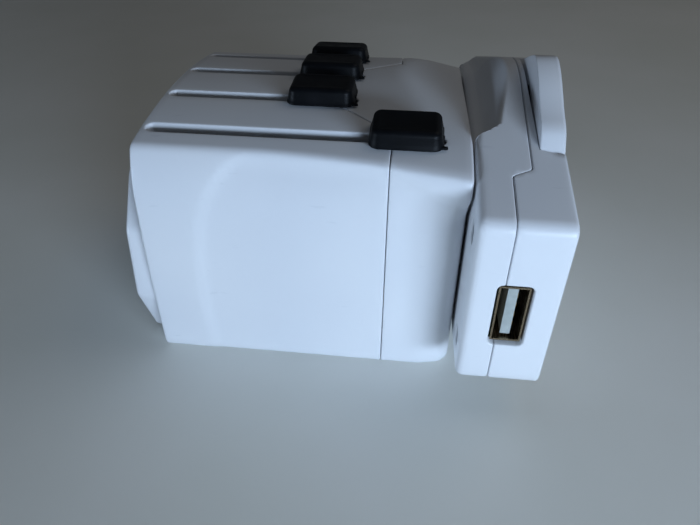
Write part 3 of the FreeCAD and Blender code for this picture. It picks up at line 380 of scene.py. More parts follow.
def surface(name, tones, lump, gloss, gloss_lump, grain=1.0, depth=0.0, detail=3.0, grain_detail=2.0,
            stretch=(1.0, 1.0, 1.0), marks=None, **shader_values):
    """A material of two close tones in lumps, with a gloss that wanders and a fine grain.

    lump, gloss_lump and grain are the sizes in millimetres of three noises on the object's own
    coordinates, drawn out along an axis by a small stretch, and depth is the grain's height.
    detail counts a noise's further, finer layers. Tone and roughness go from their first value
    to their second one over the middle of the noise. The marks function changes the colour, and
    any further value goes to the shader's input of that name.
    """
    material = bpy.data.materials.new(name)
    material.use_nodes = True
    tree = material.node_tree
    tree.nodes.clear()
    values = {key.replace("_", " "): value for key, value in shader_values.items()}
    shader = add_node(tree, "BsdfPrincipled", {}, values)
    add_node(tree, "OutputMaterial", {"Surface": shader.outputs["BSDF"]}, {})
    place = add_node(tree, "TexCoord", {}, {}).outputs["Object"]
    drawn = add_node(tree, "Mapping", {"Vector": place}, {"Scale": stretch}).outputs["Vector"]
    lumps, sheen, grains = [
        add_node(tree, "TexNoise", {"Vector": drawn}, {"Scale": 1000.0 / size, "Detail": layers}).outputs[0]
        for size, layers in ((lump, detail), (gloss_lump, 2.0), (grain, grain_detail))
    ]
    ramp = add_node(tree, "ValToRGB", {"Fac": lumps}, {})
    for stop, level, tone in zip(ramp.color_ramp.elements, (0.3, 0.7), tones):
        stop.position = level
        stop.color = srgb(tone)
    colour = ramp.outputs["Color"]
    if marks:
        colour = marks(tree, place, colour)
    tree.links.new(colour, shader.inputs["Base Color"])
    dullness = add_node(tree, "MapRange", {"Value": sheen},
                        {"From Min": 0.3, "From Max": 0.7, "To Min": gloss[0], "To Max": gloss[1]})
    tree.links.new(dullness.outputs["Result"], shader.inputs["Roughness"])
    if depth:
        relief = add_node(tree, "Bump", {"Height": grains}, {"Strength": 1.0, "Distance": 0.001 * depth})
        tree.links.new(relief.outputs["Normal"], shader.inputs["Normal"])
    return material


def specks_and_rubs(tree, place, colour):
    """A colour with a few tiny grey specks and rub marks.

    Specks are about 0.5 mm across, in the few cells of a 9 mm pattern whose own value is high.
    Rub marks are short streaks of noise drawn out along the case.
    """
    cells = add_node(tree, "TexVoronoi", {"Vector": place}, {"Scale": 1000.0 / 9.0})
    cell_value = add_node(tree, "SeparateColor", {"Color": cells.outputs["Color"]}, {}).outputs["Red"]
    along = add_node(tree, "Mapping", {"Vector": place}, {"Scale": (0.22, 1.0, 1.0)}).outputs["Vector"]
    streaks = add_node(tree, "TexNoise", {"Vector": along}, {"Scale": 1000.0 / 1.6, "Detail": 3.0})
    speck, rare, rubbed = [
        add_node(tree, "MapRange", {"Value": value},
                 {"From Min": low, "From Max": high, "To Min": first, "To Max": last}).outputs["Result"]
        for value, low, high, first, last in (
            (cells.outputs["Distance"], 0.018, 0.042, 1.0, 0.0),
            (cell_value, 0.80, 0.82, 0.0, 0.55),
            (streaks.outputs["Fac"], 0.69, 0.76, 0.0, 0.10),
        )
    ]
    dots = add_node(tree, "Math", {0: speck, 1: rare}, {}, operation="MULTIPLY").outputs[0]
    amount = add_node(tree, "Math", {0: dots, 1: rubbed}, {}, operation="MAXIMUM").outputs[0]
    mixed = add_node(tree, "Mix", {"Factor": amount, 6: colour}, {7: srgb("#8E949C")}, data_type="RGBA")
    return mixed.outputs[2]


# White ABS of the shells, injection moulded in a lightly polished tool and handled for some years:
# a soft satin gloss, a barely warm and cool drift of the white over centimetres, specks and rub
# marks. The mould texture of about 0.05 mm is drawn at 0.35 mm so that it shows.
white_abs = surface("moulded_white_abs", ("#DCDFE4", "#E4E6E9"), 34.0, (0.36, 0.44), 6.0, 0.35, 0.004,
                    detail=1.0, grain_detail=1.0, marks=specks_and_rubs, IOR=1.53)
# Black ABS of the buttons, moulded with a fine matt grain: nearly black with a cool cast and a
# dull broad highlight.
black_abs = surface("moulded_black_abs", ("#05070A", "#090B0F"), 5.0, (0.42, 0.52), 2.5, 0.3, 0.01,
                    grain_detail=1.0, IOR=1.53, Specular_IOR_Level=0.12)
# Glass-filled nylon of the inner carriages, moulded: grey-white, dull and slightly mottled.
nylon = surface("moulded_carriage_nylon", ("#5E625F", "#6D716E"), 1.2, (0.5, 0.65), 0.8, 0.5, 0.01,
                detail=4.0, IOR=1.53)
# PVC sleeves on the pin roots, moulded: black and dull, with faint mottling.
pin_sleeve = surface("moulded_pin_sleeve_pvc", ("#17181B", "#202125"), 1.5, (0.45, 0.6), 3.0, 0.4, 0.008)
# Nickel-plated brass of the pins, drawn lengthways: warm silver with fine lengthways lines. Real
# ones are finer than 0.1 mm, and these, like the steel's below, are coarser so that they show.
pin_metal = surface("drawn_nickel_plated_brass", ("#B9B5AA", "#CDC9BE"), 0.25, (0.2, 0.34), 0.25, 0.25, 0.004,
                    detail=2.0, stretch=(0.04, 1.0, 1.0), Metallic=1.0)
# Bare brass of rails and clips, stamped and slightly tarnished: yellow with brown clouds.
brass = surface("stamped_brass", ("#A8874C", "#C4A362"), 3.0, (0.28, 0.42), 1.0, detail=4.0, Metallic=1.0)
# Tin-plated steel of the port shell, folded from sheet: grey, with rolling lines across the case.
port_steel = surface("folded_tinned_steel", ("#8A7B66", "#AD9C83"), 0.3, (0.18, 0.32), 0.3, detail=2.0,
                     stretch=(1.0, 0.05, 1.0), Metallic=1.0)
# Zinc-plated steel of the small screws: bright grey with a faint grain.
screw_steel = surface("zinc_plated_steel", ("#9A9DA2", "#B4B7BC"), 0.6, (0.25, 0.4), 0.5, Metallic=1.0)
# Steatite tube of the fuse, fired: cream, faintly speckled and semi-matt.
fuse_ceramic = surface("fired_steatite", ("#D9D3C4", "#E6E1D4"), 0.8, (0.3, 0.45), 1.6, 0.3, 0.006)
# Glass-filled PBT of the port tongue, moulded: white and smooth, but its tone is darkened to a cool grey as
# painted shade for the shadow inside the port.
tongue_plastic_painted_shade = surface("moulded_white_pbt_painted_shade", ("#A3A9A6", "#B3B9B6"), 1.5, (0.3, 0.4), 3.0, 0.4, 0.004)
# Solder-masked laminate of the circuit board: green with a woven grain under a gloss coat.
laminate = surface("solder_masked_laminate", ("#1C4A30", "#25593B"), 0.7, (0.22, 0.32), 1.4, 0.9, 0.01)
# Polyester tape wound round the transformer: yellow, smooth and slightly uneven.
tape = surface("wound_polyester_tape", ("#B88C1E", "#CDA22C"), 2.5, (0.25, 0.35), 5.0, 1.5, 0.02)
# Film shrunk on the capacitors' aluminium cans: dark blue with a soft gloss.
can_film = surface("shrunk_capacitor_film", ("#1B2436", "#263247"), 1.5, (0.2, 0.3), 3.0, 1.0, 0.006)
# Epoxy body of chip and rectifier, moulded: charcoal and matt.
epoxy = surface("moulded_epoxy_resin", ("#1B1B1D", "#252528"), 0.6, (0.5, 0.62), 1.2, 0.25, 0.008)
# Painted table top: pale and matt, with a fine roller grain.
table_paint = surface("painted_table_top", ("#EBEBE2", "#F1F0E9"), 60.0, (0.5, 0.6), 120.0, 1.2, 0.01)


# Cross-section of the case. It is measured along its outline from the underside's middle. The
# crown's own share of it equals the sideways place, so a slot at a given place stays straight.
BOTTOM_END = CASE_HALF - CORNER
CORNER_END = BOTTOM_END + 0.5 * np.pi * CORNER
SIDE_END = CORNER_END + SHOULDER - CORNER
SHOULDER_END = SIDE_END + SHOULDER_RUN
HALF_LOOP = SHOULDER_END + CREASE_HALF


def crown_height(side):
    """Height of the crowned top: a circle through the top with its centre far below."""
    return CROWN_TOP - CROWN_RADIUS + np.sqrt(CROWN_RADIUS**2 - side**2)


def facet_height(x, y):
    """Sloped flat that takes the far top corner of the end cap down towards the module."""
    run = (x - FACET_POINT[0]) * np.cos(FACET_HEADING) + (y - FACET_POINT[1]) * np.sin(FACET_HEADING)
    return FACET_POINT[2] - np.tan(FACET_SLOPE) * run


def hand_relief(x, y, z):
    """Depth of the hand relief: eased in over its front edge, and out at its top and bottom.

    Its top falls by 4 mm towards the module.
    """
    edge = np.interp(z, RELIEF_HEIGHTS, RELIEF_EDGE)
    top = RELIEF_TOP - 4.0 * ease(x, 8.0, CASE_RIGHT)
    fade = (1.0 - ease(z, top - 2.0, top + 2.0)) * ease(y, 20.0, CASE_HALF) * ease(z, -4.0, 14.0)
    return RELIEF_DEPTH * ease(x, edge - RELIEF_BLEND, edge + RELIEF_BLEND) * fade


def plan_limit(x, z):
    """Half width that the case's plan corner at the module end leaves at a height.

    Formula: a quarter circle in plan, whose radius goes from 5.2 mm at the side to 0.6 mm at the
    crown, joined softly to the full half width.
    """
    low = 1.0 - ease(z, 37.0, 45.0)
    radius = 0.6 + 4.6 * low
    cut = np.clip(x - CASE_RIGHT + radius, 0.0, radius)
    limit = CASE_HALF - radius + np.sqrt(np.maximum(radius**2 - cut**2, 0.0))
    return soft_lower(CASE_HALF, limit, 0.02 + 2.2 * low * ease(x, 19.0, 23.0))


def case_section(u, x):
    """Outer skin of the case at outline places u (0 on top of the crown) and places x.

    Formula: the half outline is a level line, a quarter circle, a side that leans in with the
    square of its height, a bulging shoulder up to the crease, and the crown circle. The crease
    moves outwards towards the module and is rounded by averaging both sides of it. Then the
    facet, the hand relief and the plan corners at the module end are taken off.
    """
    half = HALF_LOOP - np.abs(u)
    sign = np.where(u < 0, -1.0, 1.0)
    widening = np.clip((x - WIDENING_START) / (CASE_RIGHT - WIDENING_START), 0.0, 1.0) ** 1.5
    crease_y = CREASE_HALF + CREASE_WIDENING * widening
    shoulder_y = SHOULDER_HALF + SHOULDER_WIDENING * widening
    crease_z = crown_height(crease_y)
    bulge = SHOULDER_BULGE * unit(np.stack([crease_z - SHOULDER, shoulder_y - crease_y], axis=-1))
    middle_y = 0.5 * (crease_y + shoulder_y) + bulge[..., 0]
    middle_z = 0.5 * (crease_z + SHOULDER) + bulge[..., 1]

    angle = np.clip((half - BOTTOM_END) / CORNER, 0.0, 0.5 * np.pi)
    rise = np.clip((half - CORNER_END) / (SIDE_END - CORNER_END), 0.0, 1.0)
    share = np.clip((half - SIDE_END) / (SHOULDER_END - SIDE_END), 0.0, 1.0)
    first, second, third = (1 - share) ** 2, 2 * share * (1 - share), share**2
    flat_y = CREASE_HALF - (half - SHOULDER_END)
    outer_share = (crease_y - EVEN_CROWN) / (CREASE_HALF - EVEN_CROWN)
    crown_y = np.where(flat_y < EVEN_CROWN, flat_y, EVEN_CROWN + (flat_y - EVEN_CROWN) * outer_share)
    stretches = [half < BOTTOM_END, half < CORNER_END, half < SIDE_END, half < SHOULDER_END]
    y = np.select(stretches, [
        half,
        BOTTOM_END + CORNER * np.sin(angle),
        CASE_HALF - (CASE_HALF - shoulder_y) * rise**2,
        first * shoulder_y + second * middle_y + third * crease_y,
    ], crown_y)
    z = np.select(stretches, [
        0.0 * half,
        CORNER * (1 - np.cos(angle)),
        CORNER + (SHOULDER - CORNER) * rise,
        first * SHOULDER + second * middle_z + third * crease_z,
    ], crown_height(np.minimum(crown_y, CASE_HALF)))

    down = unit(np.stack([middle_y - crease_y, middle_z - crease_z], axis=-1))
    over = unit(np.stack([-np.ones_like(y), crease_y / CROWN_RADIUS], axis=-1))
    soften = np.maximum(CREASE_REACH - np.abs(half - SHOULDER_END), 0.0) ** 2 / (4.0 * CREASE_REACH)
    y = y + (down[..., 0] + over[..., 0]) * soften
    z = z + (down[..., 1] + over[..., 1]) * soften

    z = np.where(half > SIDE_END, soft_lower(z, facet_height(x, sign * y), 0.6), z)
    y = y - hand_relief(x, y, z)
    y = y * plan_limit(x, z) / CASE_HALF
    return np.stack([x, sign * y, z], axis=-1)


def slot_distance(u, x):
    """Signed distance to the nearest slot: a straight run with round ends, negative inside."""
    nearest = np.full(np.shape(u), FAR)
    for side, right in SLOTS.values():
        along = np.clip(x, SLOT_LEFT + SLOT_RADIUS, right - SLOT_RADIUS)
        nearest = np.minimum(nearest, np.hypot(u - side, x - along) - SLOT_RADIUS)
    return nearest


def slot_path(side, right, grow):
    """Outline of a slot, grown by an offset: two half circles joined by straight runs."""
    radius = SLOT_RADIUS + grow
    turn = np.linspace(-0.5 * np.pi, 0.5 * np.pi, 15)
    left_x, right_x = SLOT_LEFT + SLOT_RADIUS, right - SLOT_RADIUS
    runs = np.arange(left_x + 1.0, right_x - 0.5, 1.0)
    low = np.stack([np.full(len(runs), side - radius), runs], axis=1)
    high = np.stack([np.full(len(runs), side + radius), runs[::-1]], axis=1)
    right_end = np.stack([side + radius * np.sin(turn), right_x + radius * np.cos(turn)], axis=1)
    left_end = np.stack([side - radius * np.sin(turn), left_x - radius * np.cos(turn)], axis=1)
    return np.concatenate([low, right_end, high, left_end])


def seam_place(u):
    """Place of the seam along the case: straight round the sides, drawn out to a tongue on top."""
    return SEAM - TONGUE_REACH * np.clip((TONGUE_ROOT - np.abs(u)) / (TONGUE_ROOT - TONGUE_TIP), 0.0, 1.0)


def seam_slant(u):
    """Length along the case that a step square to the seam has: more than 1 on the tongue's sides."""
    on_slope = (np.abs(u) > TONGUE_TIP) & (np.abs(u) < TONGUE_ROOT)
    return np.where(on_slope, np.hypot(1.0, TONGUE_REACH / (TONGUE_ROOT - TONGUE_TIP)), 1.0)


def seam_path(shift):
    """Line of the seam, moved square to itself, in millimetre steps."""
    sides = np.arange(-HALF_LOOP, -TONGUE_ROOT, 1.0)
    slope = np.linspace(-TONGUE_ROOT, -TONGUE_TIP, 14)
    tip = np.linspace(-TONGUE_TIP, TONGUE_TIP, 13)[1:-1]
    u = np.concatenate([sides, slope, tip, -slope[::-1], -sides[::-1]])
    return np.stack([u, seam_place(u) + shift * seam_slant(u)], axis=1)


# Shells made of wrapped nets and flat end walls.


def rim_gap(distances):
    """Distance to the nearest rim or to the line where its rounding ends."""
    return np.min([np.abs(distance - shift) for distance in distances for shift in (0.0, RIM)], axis=0)


def wrapped_sheet(section, flat, faces, opening, lines, end, end_radius, wall, span):
    """Flat pattern wrapped onto a section, as a sheet for shell_mesh, and its outline at its end.

    Formula: the outer face is the section, sunk by a quarter circle near an opening and near
    the closed end. The inner face lies one wall inside it and within the span along the adapter.
    """
    u, x = flat[:, 0], np.where(np.abs(flat[:, 1] - end) < HAIR, end, flat[:, 1])
    base = section(u, x)
    normal = outward_normals(section, u, x)
    depth = quarter(np.maximum(opening(u, x), 0.0), RIM) + quarter(np.abs(x - end), end_radius)
    outer = base - normal * depth[:, None]
    inner = base - normal * wall
    inner[:, 0] = np.clip(x, *span)
    centre = 0.5 * (base[:, 2].min() + base[:, 2].max())
    faces = facing(outer, faces, lambda middle: middle * (0, 1, 1) - (0, 0, centre))
    ends = np.full(len(lines), end)
    rim = section(lines, ends) - end_radius * outward_normals(section, lines, ends)
    return (outer, inner, faces), rim[:-1, 1:]


def flat_wall(outline, x, toward, wall, paths, opening, clearance):
    """Flat end wall inside an outline, as a sheet for shell_mesh.

    Formula: a level net at one place along the adapter, sunk by a quarter circle near an
    opening. The clearance keeps the net's own points off the paths that follow the openings.
    """
    def clear_of_all(y, z):
        gap = np.hypot(y[:, None] - outline[:, 0], z[:, None] - outline[:, 1]).min(axis=1)
        return np.where(inside_path(y, z, outline), np.minimum(gap, clearance(y, z)), -1.0)

    (low_y, low_z), (high_y, high_z) = outline.min(axis=0), outline.max(axis=0)
    points = grid_points(np.arange(low_y, high_y, WALL_STEP), np.arange(low_z, high_z, WALL_STEP),
                         0.45 * WALL_STEP, clear_of_all)
    paths = [(outline, True)] + paths
    flat, faces = trimmed_net(points, paths, lambda y, z: opening(y, z) > 0.0, bounded=True)
    y, z = flat[:, 0], flat[:, 1]
    outer = np.stack([x - toward * quarter(np.maximum(opening(y, z), 0.0), RIM), y, z], axis=1)
    inner = np.stack([np.full(len(y), x - toward * wall), y, z], axis=1)
    return outer, inner, facing(outer, faces, lambda middle: middle * 0.0 + (toward, 0.0, 0.0))


def wall_with_holes(outline, x, toward, holes, wall):
    """Flat end wall with holes. Every hole is its centre, half sizes, corner radius and turn."""
    def hole_distance(y, z):
        nearest = np.full(np.shape(y), FAR)
        for centre, half_y, half_z, radius, turn in holes:
            dy, dz = y - centre[0], z - centre[1]
            along = dy * np.cos(turn) + dz * np.sin(turn)
            up = dz * np.cos(turn) - dy * np.sin(turn)
            nearest = np.minimum(nearest, around_box(along, up, half_y, half_z, radius))
        return nearest

    paths = [(box_path(half_y + grow, half_z + grow, radius + grow, turn, centre), True)
             for centre, half_y, half_z, radius, turn in holes for grow in RIM_STEPS]
    return flat_wall(outline, x, toward, wall, paths, hole_distance,
                     lambda y, z: np.abs(hole_distance(y, z) - 0.5 * RIM) + RIM)


def round_holes(places, radius):
    """Round holes as centre, half sizes, corner radius and turn."""
    return [(place, radius, radius, radius - 0.001, 0.0) for place in places]


def square_hole(y, z, width, height, turn=0.0):
    """A rectangular hole with small corner radii and the running play of a pin all round."""
    return (y, z), 0.5 * width + PIN_PLAY, 0.5 * height + PIN_PLAY, 0.35, turn


europe_places = [(side, EUROPE_LEVEL) for side in (-EUROPE_HALF, EUROPE_HALF)]
pin_holes = [square_hole(side, UK_LEVEL, 6.35, 4.0) for side in (-UK_HALF, UK_HALF)]
pin_holes.append(square_hole(0.0, UK_EARTH_LEVEL, 4.0, 8.0))
for thick, _, _, middle, half, lean in BLADES.values():
    for sign in (-1, 1):
        turn = np.radians(-sign * lean)
        pin_holes.append(square_hole(middle + sign * half, BLADE_LEVEL, thick, BLADE_WIDTH, turn))
pin_holes += round_holes(europe_places, EUROPE_RADIUS + PIN_PLAY)


# The two parts of the case.

# Lines along the case: even ones, with closer ones at both creases and beside the lower edges.
case_lines = fine_steps(
    -HALF_LOOP, HALF_LOOP, 1.15, spots=(-SHOULDER_END, -CREASE_HALF, CREASE_HALF, SHOULDER_END),
    near=(-2.0, -1.5, -1.0, -0.6, -0.2, 0.2, 0.6, 1.0, 1.5, 2.0))


def case_sheet(low, high, end, end_radius, toward):
    """Skin of one part of the case as a sheet for shell_mesh, and its outline at its closed end.

    toward is -1 for the part on the wall side of the seam and 1 for the part on the other side.
    """
    def beyond(u, x):
        return toward * (x - seam_place(u)) / seam_slant(u) - SEAM_GAP

    def opening(u, x):
        return np.minimum(slot_distance(u, x), beyond(u, x))

    paths = [(slot_path(side, right, grow), True) for side, right in SLOTS.values() for grow in RIM_STEPS]
    paths += [(seam_path(toward * (SEAM_GAP + grow)), False) for grow in RIM_STEPS]
    points = grid_points(case_lines, end_lines(low, high, 1.0, end, end_radius), 0.32,
                         lambda u, x: rim_gap([slot_distance(u, x), beyond(u, x)]))
    flat, faces = trimmed_net(points, paths, lambda u, x: opening(u, x) > HAIR)
    return wrapped_sheet(case_section, flat, faces, opening, case_lines, end, end_radius, CASE_WALL,
                         (CASE_LEFT + CASE_WALL, CASE_RIGHT - CASE_WALL))


sleeve_skin, sleeve_end = case_sheet(CASE_LEFT, 13.0, CASE_LEFT, 0.7, -1)
sleeve_wall = wall_with_holes(sleeve_end, CASE_LEFT, -1, pin_holes, CASE_WALL)
new_piece("case_sleeve", [shell_mesh([sleeve_skin, sleeve_wall])], white_abs,
          "adapter_body", ["main_sleeve"])
cap_skin, cap_end = case_sheet(-6.0, CASE_RIGHT, CASE_RIGHT, 0.6, 1)
cap_wall = wall_with_holes(cap_end, CASE_RIGHT, 1, round_holes(europe_places, 2.4), CASE_WALL)
new_piece("case_end_cap", [shell_mesh([cap_skin, cap_wall])], white_abs,
          "adapter_body", ["end_cap"])


# Raised plate on the wall end.


def rounded_outline(corners, radii):
    """Closed outline through corners, each corner cut by a bend of its own radius.

    A bend starts and ends at radius * tan(half the turn) from its corner and is a quadratic
    curve between. Gives the points and their distance along the outline.
    """
    corners = np.array(corners, float)
    before, after = np.roll(corners, 1, axis=0), np.roll(corners, -1, axis=0)
    into, out_of = unit(corners - before), unit(after - corners)
    turn = np.arccos(np.clip((into * out_of).sum(axis=1), -1.0, 1.0))
    cut = np.array(radii) * np.tan(0.5 * turn)
    share = np.linspace(0.0, 1.0, 15)[None, :, None]
    start = (corners - into * cut[:, None])[:, None, :]
    end = (corners + out_of * cut[:, None])[:, None, :]
    bends = (1 - share) ** 2 * start + 2 * share * (1 - share) * corners[:, None, :] + share**2 * end
    points = bends.reshape(-1, 2)
    points = np.concatenate([points, points[:1]])
    length = np.concatenate([[0.0], np.cumsum(np.linalg.norm(np.diff(points, axis=0), axis=1))])
    return points, length


def along_outline(outline, u):
    """Points of an outline at distances along it, carried on past its ends."""
    points, length = outline
    u = np.mod(u, length[-1])
    return np.interp(u, length, points[:, 0]), np.interp(u, length, points[:, 1])


def plate_section(u, x):
    """Outline of the raised plate, the same at every place along it."""
    y, z = along_outline(plate_outline, u)
    return np.stack([x, y, z], axis=-1)


plate_outline = rounded_outline(
    [(0.0, 0.6), (-27.0, 0.6), (-32.0, 14.5), (-29.6, 30.0), (-22.6, 39.9), (-15.5, 45.4),
     (15.5, 45.4), (22.6, 39.9), (29.6, 30.0), (32.0, 14.5), (27.0, 0.6)],
    [0.0, 2.5, 4.0, 4.0, 4.0, 2.5, 2.5, 4.0, 4.0, 4.0, 2.5])
plate_lines = fine_steps(0.0, plate_outline[1][-1], 1.0)
plate_rows = WALL_FACE + np.concatenate([PLATE_RADIUS * ROUNDING, [2.5, 4.0, 4.7]])
plate_grid = np.stack(np.meshgrid(plate_lines, plate_rows, indexing="ij"), axis=-1).reshape(-1, 2)
plate_skin, plate_end = wrapped_sheet(
    plate_section, plate_grid, grid_faces(len(plate_lines), len(plate_rows)),
    lambda u, x: np.full(len(u), FAR), plate_lines, WALL_FACE, PLATE_RADIUS, PLATE_SKIRT,
    (WALL_FACE + PLATE_WALL, CASE_LEFT))
plate_wall = wall_with_holes(plate_end, WALL_FACE, -1, pin_holes, PLATE_WALL)
new_piece("wall_face_plate", [shell_mesh([plate_skin, plate_wall])], white_abs,
          "adapter_body", ["face_plate"])


# Charger module: the outline of its section, and the floor of its scoop along the adapter.
module_outline = rounded_outline(
    [(8.0, 0.4), (NEAR_WALL, 8.6), (NEAR_WALL, 45.7), (8.0, 57.0), (-NEAR_WALL, 45.7), (-NEAR_WALL, 8.6)],
    [36.0, 2.5, 2.9, 36.0, 2.9, 2.5])
MODULE_LOOP = module_outline[1][-1]
SCOOP_X = np.array([26.0, 26.95, 28.2, 29.2, 30.2, 31.2, 32.2, 33.0, 33.8, 34.6, 36.0, 60.0])
SCOOP_Z = np.array([47.6, 47.75, 48.05, 48.6, 49.6, 51.0, 52.5, 53.7, 54.9, 56.5, 60.0, 120.0])
SCOOP_CREST = 21.0
ROOF_PARTING = 36.95
SIDE_PARTING = 33.35


def scoop_front(x):
    """Sideways place of the scoop's near wall, which slants 4.6 mm back over its 6.45 mm."""
    return -19.2 + 4.6 * (x - MODULE_LEFT) / 6.45


def module_section(u, x):
    """Outer skin of the module: the ridged outline, lowered by the finger scoop in the roof.

    Formula: the height is the softly rounded lower one of the outline and the scoop's floor.
    The floor follows an S along x, rises steeply at the scoop's near wall and falls away
    beyond its crest on the far side.
    """
    y, z = along_outline(module_outline, u)
    floor = np.interp(x, SCOOP_X, SCOOP_Z) + 5.0 * np.maximum(scoop_front(x) - y, 0.0)
    floor = floor - 0.2 * np.maximum(y - SCOOP_CREST, 0.0)
    z = np.where(z > 38.0, soft_lower(z, floor, 0.9), z)
    return np.stack([x, y, z], axis=-1)


def outline_place(y, upper):
    """Distance along the module's outline of the roof or underside point with a sideways place."""
    points, length = module_outline
    middle = 0.5 * (points[:, 1].min() + points[:, 1].max())
    chosen = points[:, 1] > middle if upper else points[:, 1] < middle
    order = np.argsort(points[chosen, 0])
    return np.interp(y, points[chosen, 0][order], length[chosen][order])


def module_parting(u):
    """Place of the parting line: near the middle round the sides, set back across the roof.

    Formula: two levels joined by a slanted jog at each side of the roof, with its two bends
    rounded by easing.
    """
    y, z = along_outline(module_outline, u)
    jog = ease(y, -30.9, -28.3) * (1.0 - ease(y, 28.3, 30.9))
    return SIDE_PARTING + (ROOF_PARTING - SIDE_PARTING) * np.where(z > 44.0, jog, 0.0)


def parting_path(shift):
    """Line of the parting line, moved along the adapter."""
    jogs = [outline_place(side, True) for side in (-29.6, 29.6)]
    u = fine_steps(0.0, MODULE_LOOP, 1.2, spots=jogs, near=np.linspace(-2.2, 2.2, 12))
    return np.stack([u, module_parting(u) + shift], axis=1)


def port_distance(u, x):
    """Signed distance to the port opening in the near wall, negative inside."""
    y, z = along_outline(module_outline, u)
    across = around_box(x - PORT_X, z - PORT_Z, PORT_HALF_X, PORT_HALF_Z, PORT_CORNER)
    return np.where(y < NEAR_WALL + 1.0, across, FAR)


def port_path(grow):
    """Outline of the port opening along the module's outline, grown by an offset."""
    points, length = module_outline
    near = points[:, 0] < NEAR_WALL + 0.01
    level = np.interp(PORT_Z, points[near, 1], length[near])
    path = box_path(PORT_HALF_Z + grow, PORT_HALF_X + grow, PORT_CORNER + grow, count=7)
    return path + np.array([level, PORT_X])


def seat_distance(y, z):
    """Distance outside the round seat of the end disc."""
    return np.hypot(y, z - DISC_LEVEL) - DISC_RADIUS - SEAT_GAP


def seat_span():
    """Start and end, along the module's outline, of the part of the roof inside the disc's seat."""
    u = np.linspace(0.0, MODULE_LOOP, 4000)
    y, z = along_outline(module_outline, u)
    inside = u[(seat_distance(y, z) < 0.0) & (z > 30.0)]
    return inside.min(), inside.max()


SEAT_START, SEAT_END = seat_span()
SEAT_EDGE = DISC_LEFT - 0.12


def finer_roof(points, low, lines, near_outline):
    """Grid points with finer ones at the scoop, in rows that lean with the scoop's near wall."""
    start, stop = outline_place(-24.0, True), outline_place(41.0, True)
    coarse = (points[:, 0] > start) & (points[:, 0] < stop) & (points[:, 1] > low + 0.01)
    fine = grid_points(np.arange(start, stop, 0.3), lines, 0.22, near_outline)
    side = along_outline(module_outline, fine[:, 0])[0]
    lean = scoop_front(fine[:, 1]) - scoop_front(low)
    fine[:, 0] += lean * ease(side, -24.0, -20.5) * (1.0 - ease(side, -14.0, 0.0))
    return np.concatenate([points[~coarse], fine])


def module_sheet(low, high, end, end_radius, toward):
    """Skin of one half of the module shell as a sheet for shell_mesh, and its outline at the end.

    toward is -1 for the half beside the case and 1 for the outer half.
    """
    def beyond(u, x):
        return toward * (x - module_parting(u)) - PARTING_GAP

    def opening(u, x):
        return np.minimum(port_distance(u, x), beyond(u, x))

    def near_outline(u, x):
        gap = rim_gap([port_distance(u, x), beyond(u, x)])
        if toward > 0:
            seat_gap = np.minimum(np.abs(u - SEAT_START), np.abs(u - SEAT_END))
            gap = np.minimum(gap, np.where((x > SEAT_EDGE) & (x < high - 0.01), seat_gap, FAR))
        return gap

    def stays(u, x):
        in_seat = (toward > 0) & (u > SEAT_START) & (u < SEAT_END) & (x > SEAT_EDGE)
        return (opening(u, x) > HAIR) & ~in_seat

    corners = [outline_place(side, upper) for side in (-41.5, 41.5) for upper in (True, False)]
    lines = fine_steps(0.0, MODULE_LOOP, 1.2, spots=corners,
                       near=(-2.0, -1.4, -1.0, -0.7, -0.4, -0.1, 0.2, 0.5, 0.8, 1.2, 1.8))
    paths = [(port_path(grow), True) for grow in RIM_STEPS]
    paths += [(parting_path(toward * (PARTING_GAP + grow)), False) for grow in RIM_STEPS]
    points = grid_points(lines, end_lines(low, high, 0.8, end, end_radius), 0.3, near_outline)
    if toward > 0:
        seat = [(SEAT_START, high), (SEAT_START, SEAT_EDGE), (SEAT_END, SEAT_EDGE), (SEAT_END, high)]
        paths.append((np.array(seat), False))
    else:
        points = finer_roof(points, low, end_lines(low, high, 0.3, end, end_radius)[1:], near_outline)
    flat, faces = trimmed_net(points, paths, stays)
    return wrapped_sheet(module_section, flat, faces, opening, lines, end, end_radius, MODULE_WALL,
                         (MODULE_LEFT + MODULE_WALL, MODULE_RIGHT - MODULE_WALL))


def seat_wall(outline):
    """Outer end wall of the module, cut away at the disc's seat, whose rim runs out at the roof."""
    turn = np.linspace(0.0, 2.0 * np.pi, 181)[:-1]
    paths = []
    for grow in RIM_STEPS:
        radius = DISC_RADIUS + SEAT_GAP + grow
        ring = np.stack([radius * np.sin(turn), DISC_LEVEL + radius * np.cos(turn)], axis=1)
        free = inside_path(ring[:, 0], ring[:, 1], outline)
        gap = np.hypot(ring[:, :1] - outline[:, 0], ring[:, 1:] - outline[:, 1]).min(axis=1)
        paths.append((ring[free & ((gap > 0.25) | (ring[:, 1] < DISC_LEVEL))], False))
    return flat_wall(outline, MODULE_RIGHT, 1, MODULE_WALL, paths, seat_distance,
                     lambda y, z: seat_distance(y, z) + RIM)


screw_places = [(side, level) for side in (-36.0, 36.0) for level in (14.0, 39.6)]
rear_skin, rear_end = module_sheet(MODULE_LEFT, 38.0, MODULE_LEFT, 1.5, -1)
rear_wall = wall_with_holes(rear_end, MODULE_LEFT, -1,
                            round_holes(screw_places, 2.25) + round_holes(europe_places, 2.1), MODULE_WALL)
new_piece("module_inner_shell", [shell_mesh([rear_skin, rear_wall])], white_abs,
          "charger_module", ["module_rear_shell"])
front_skin, front_end = module_sheet(32.5, MODULE_RIGHT, MODULE_RIGHT, 0.8, 1)
new_piece("module_outer_shell", [shell_mesh([front_skin, seat_wall(front_end)])], white_abs,
          "charger_module", ["module_front_shell"])


# Round cover of the module.


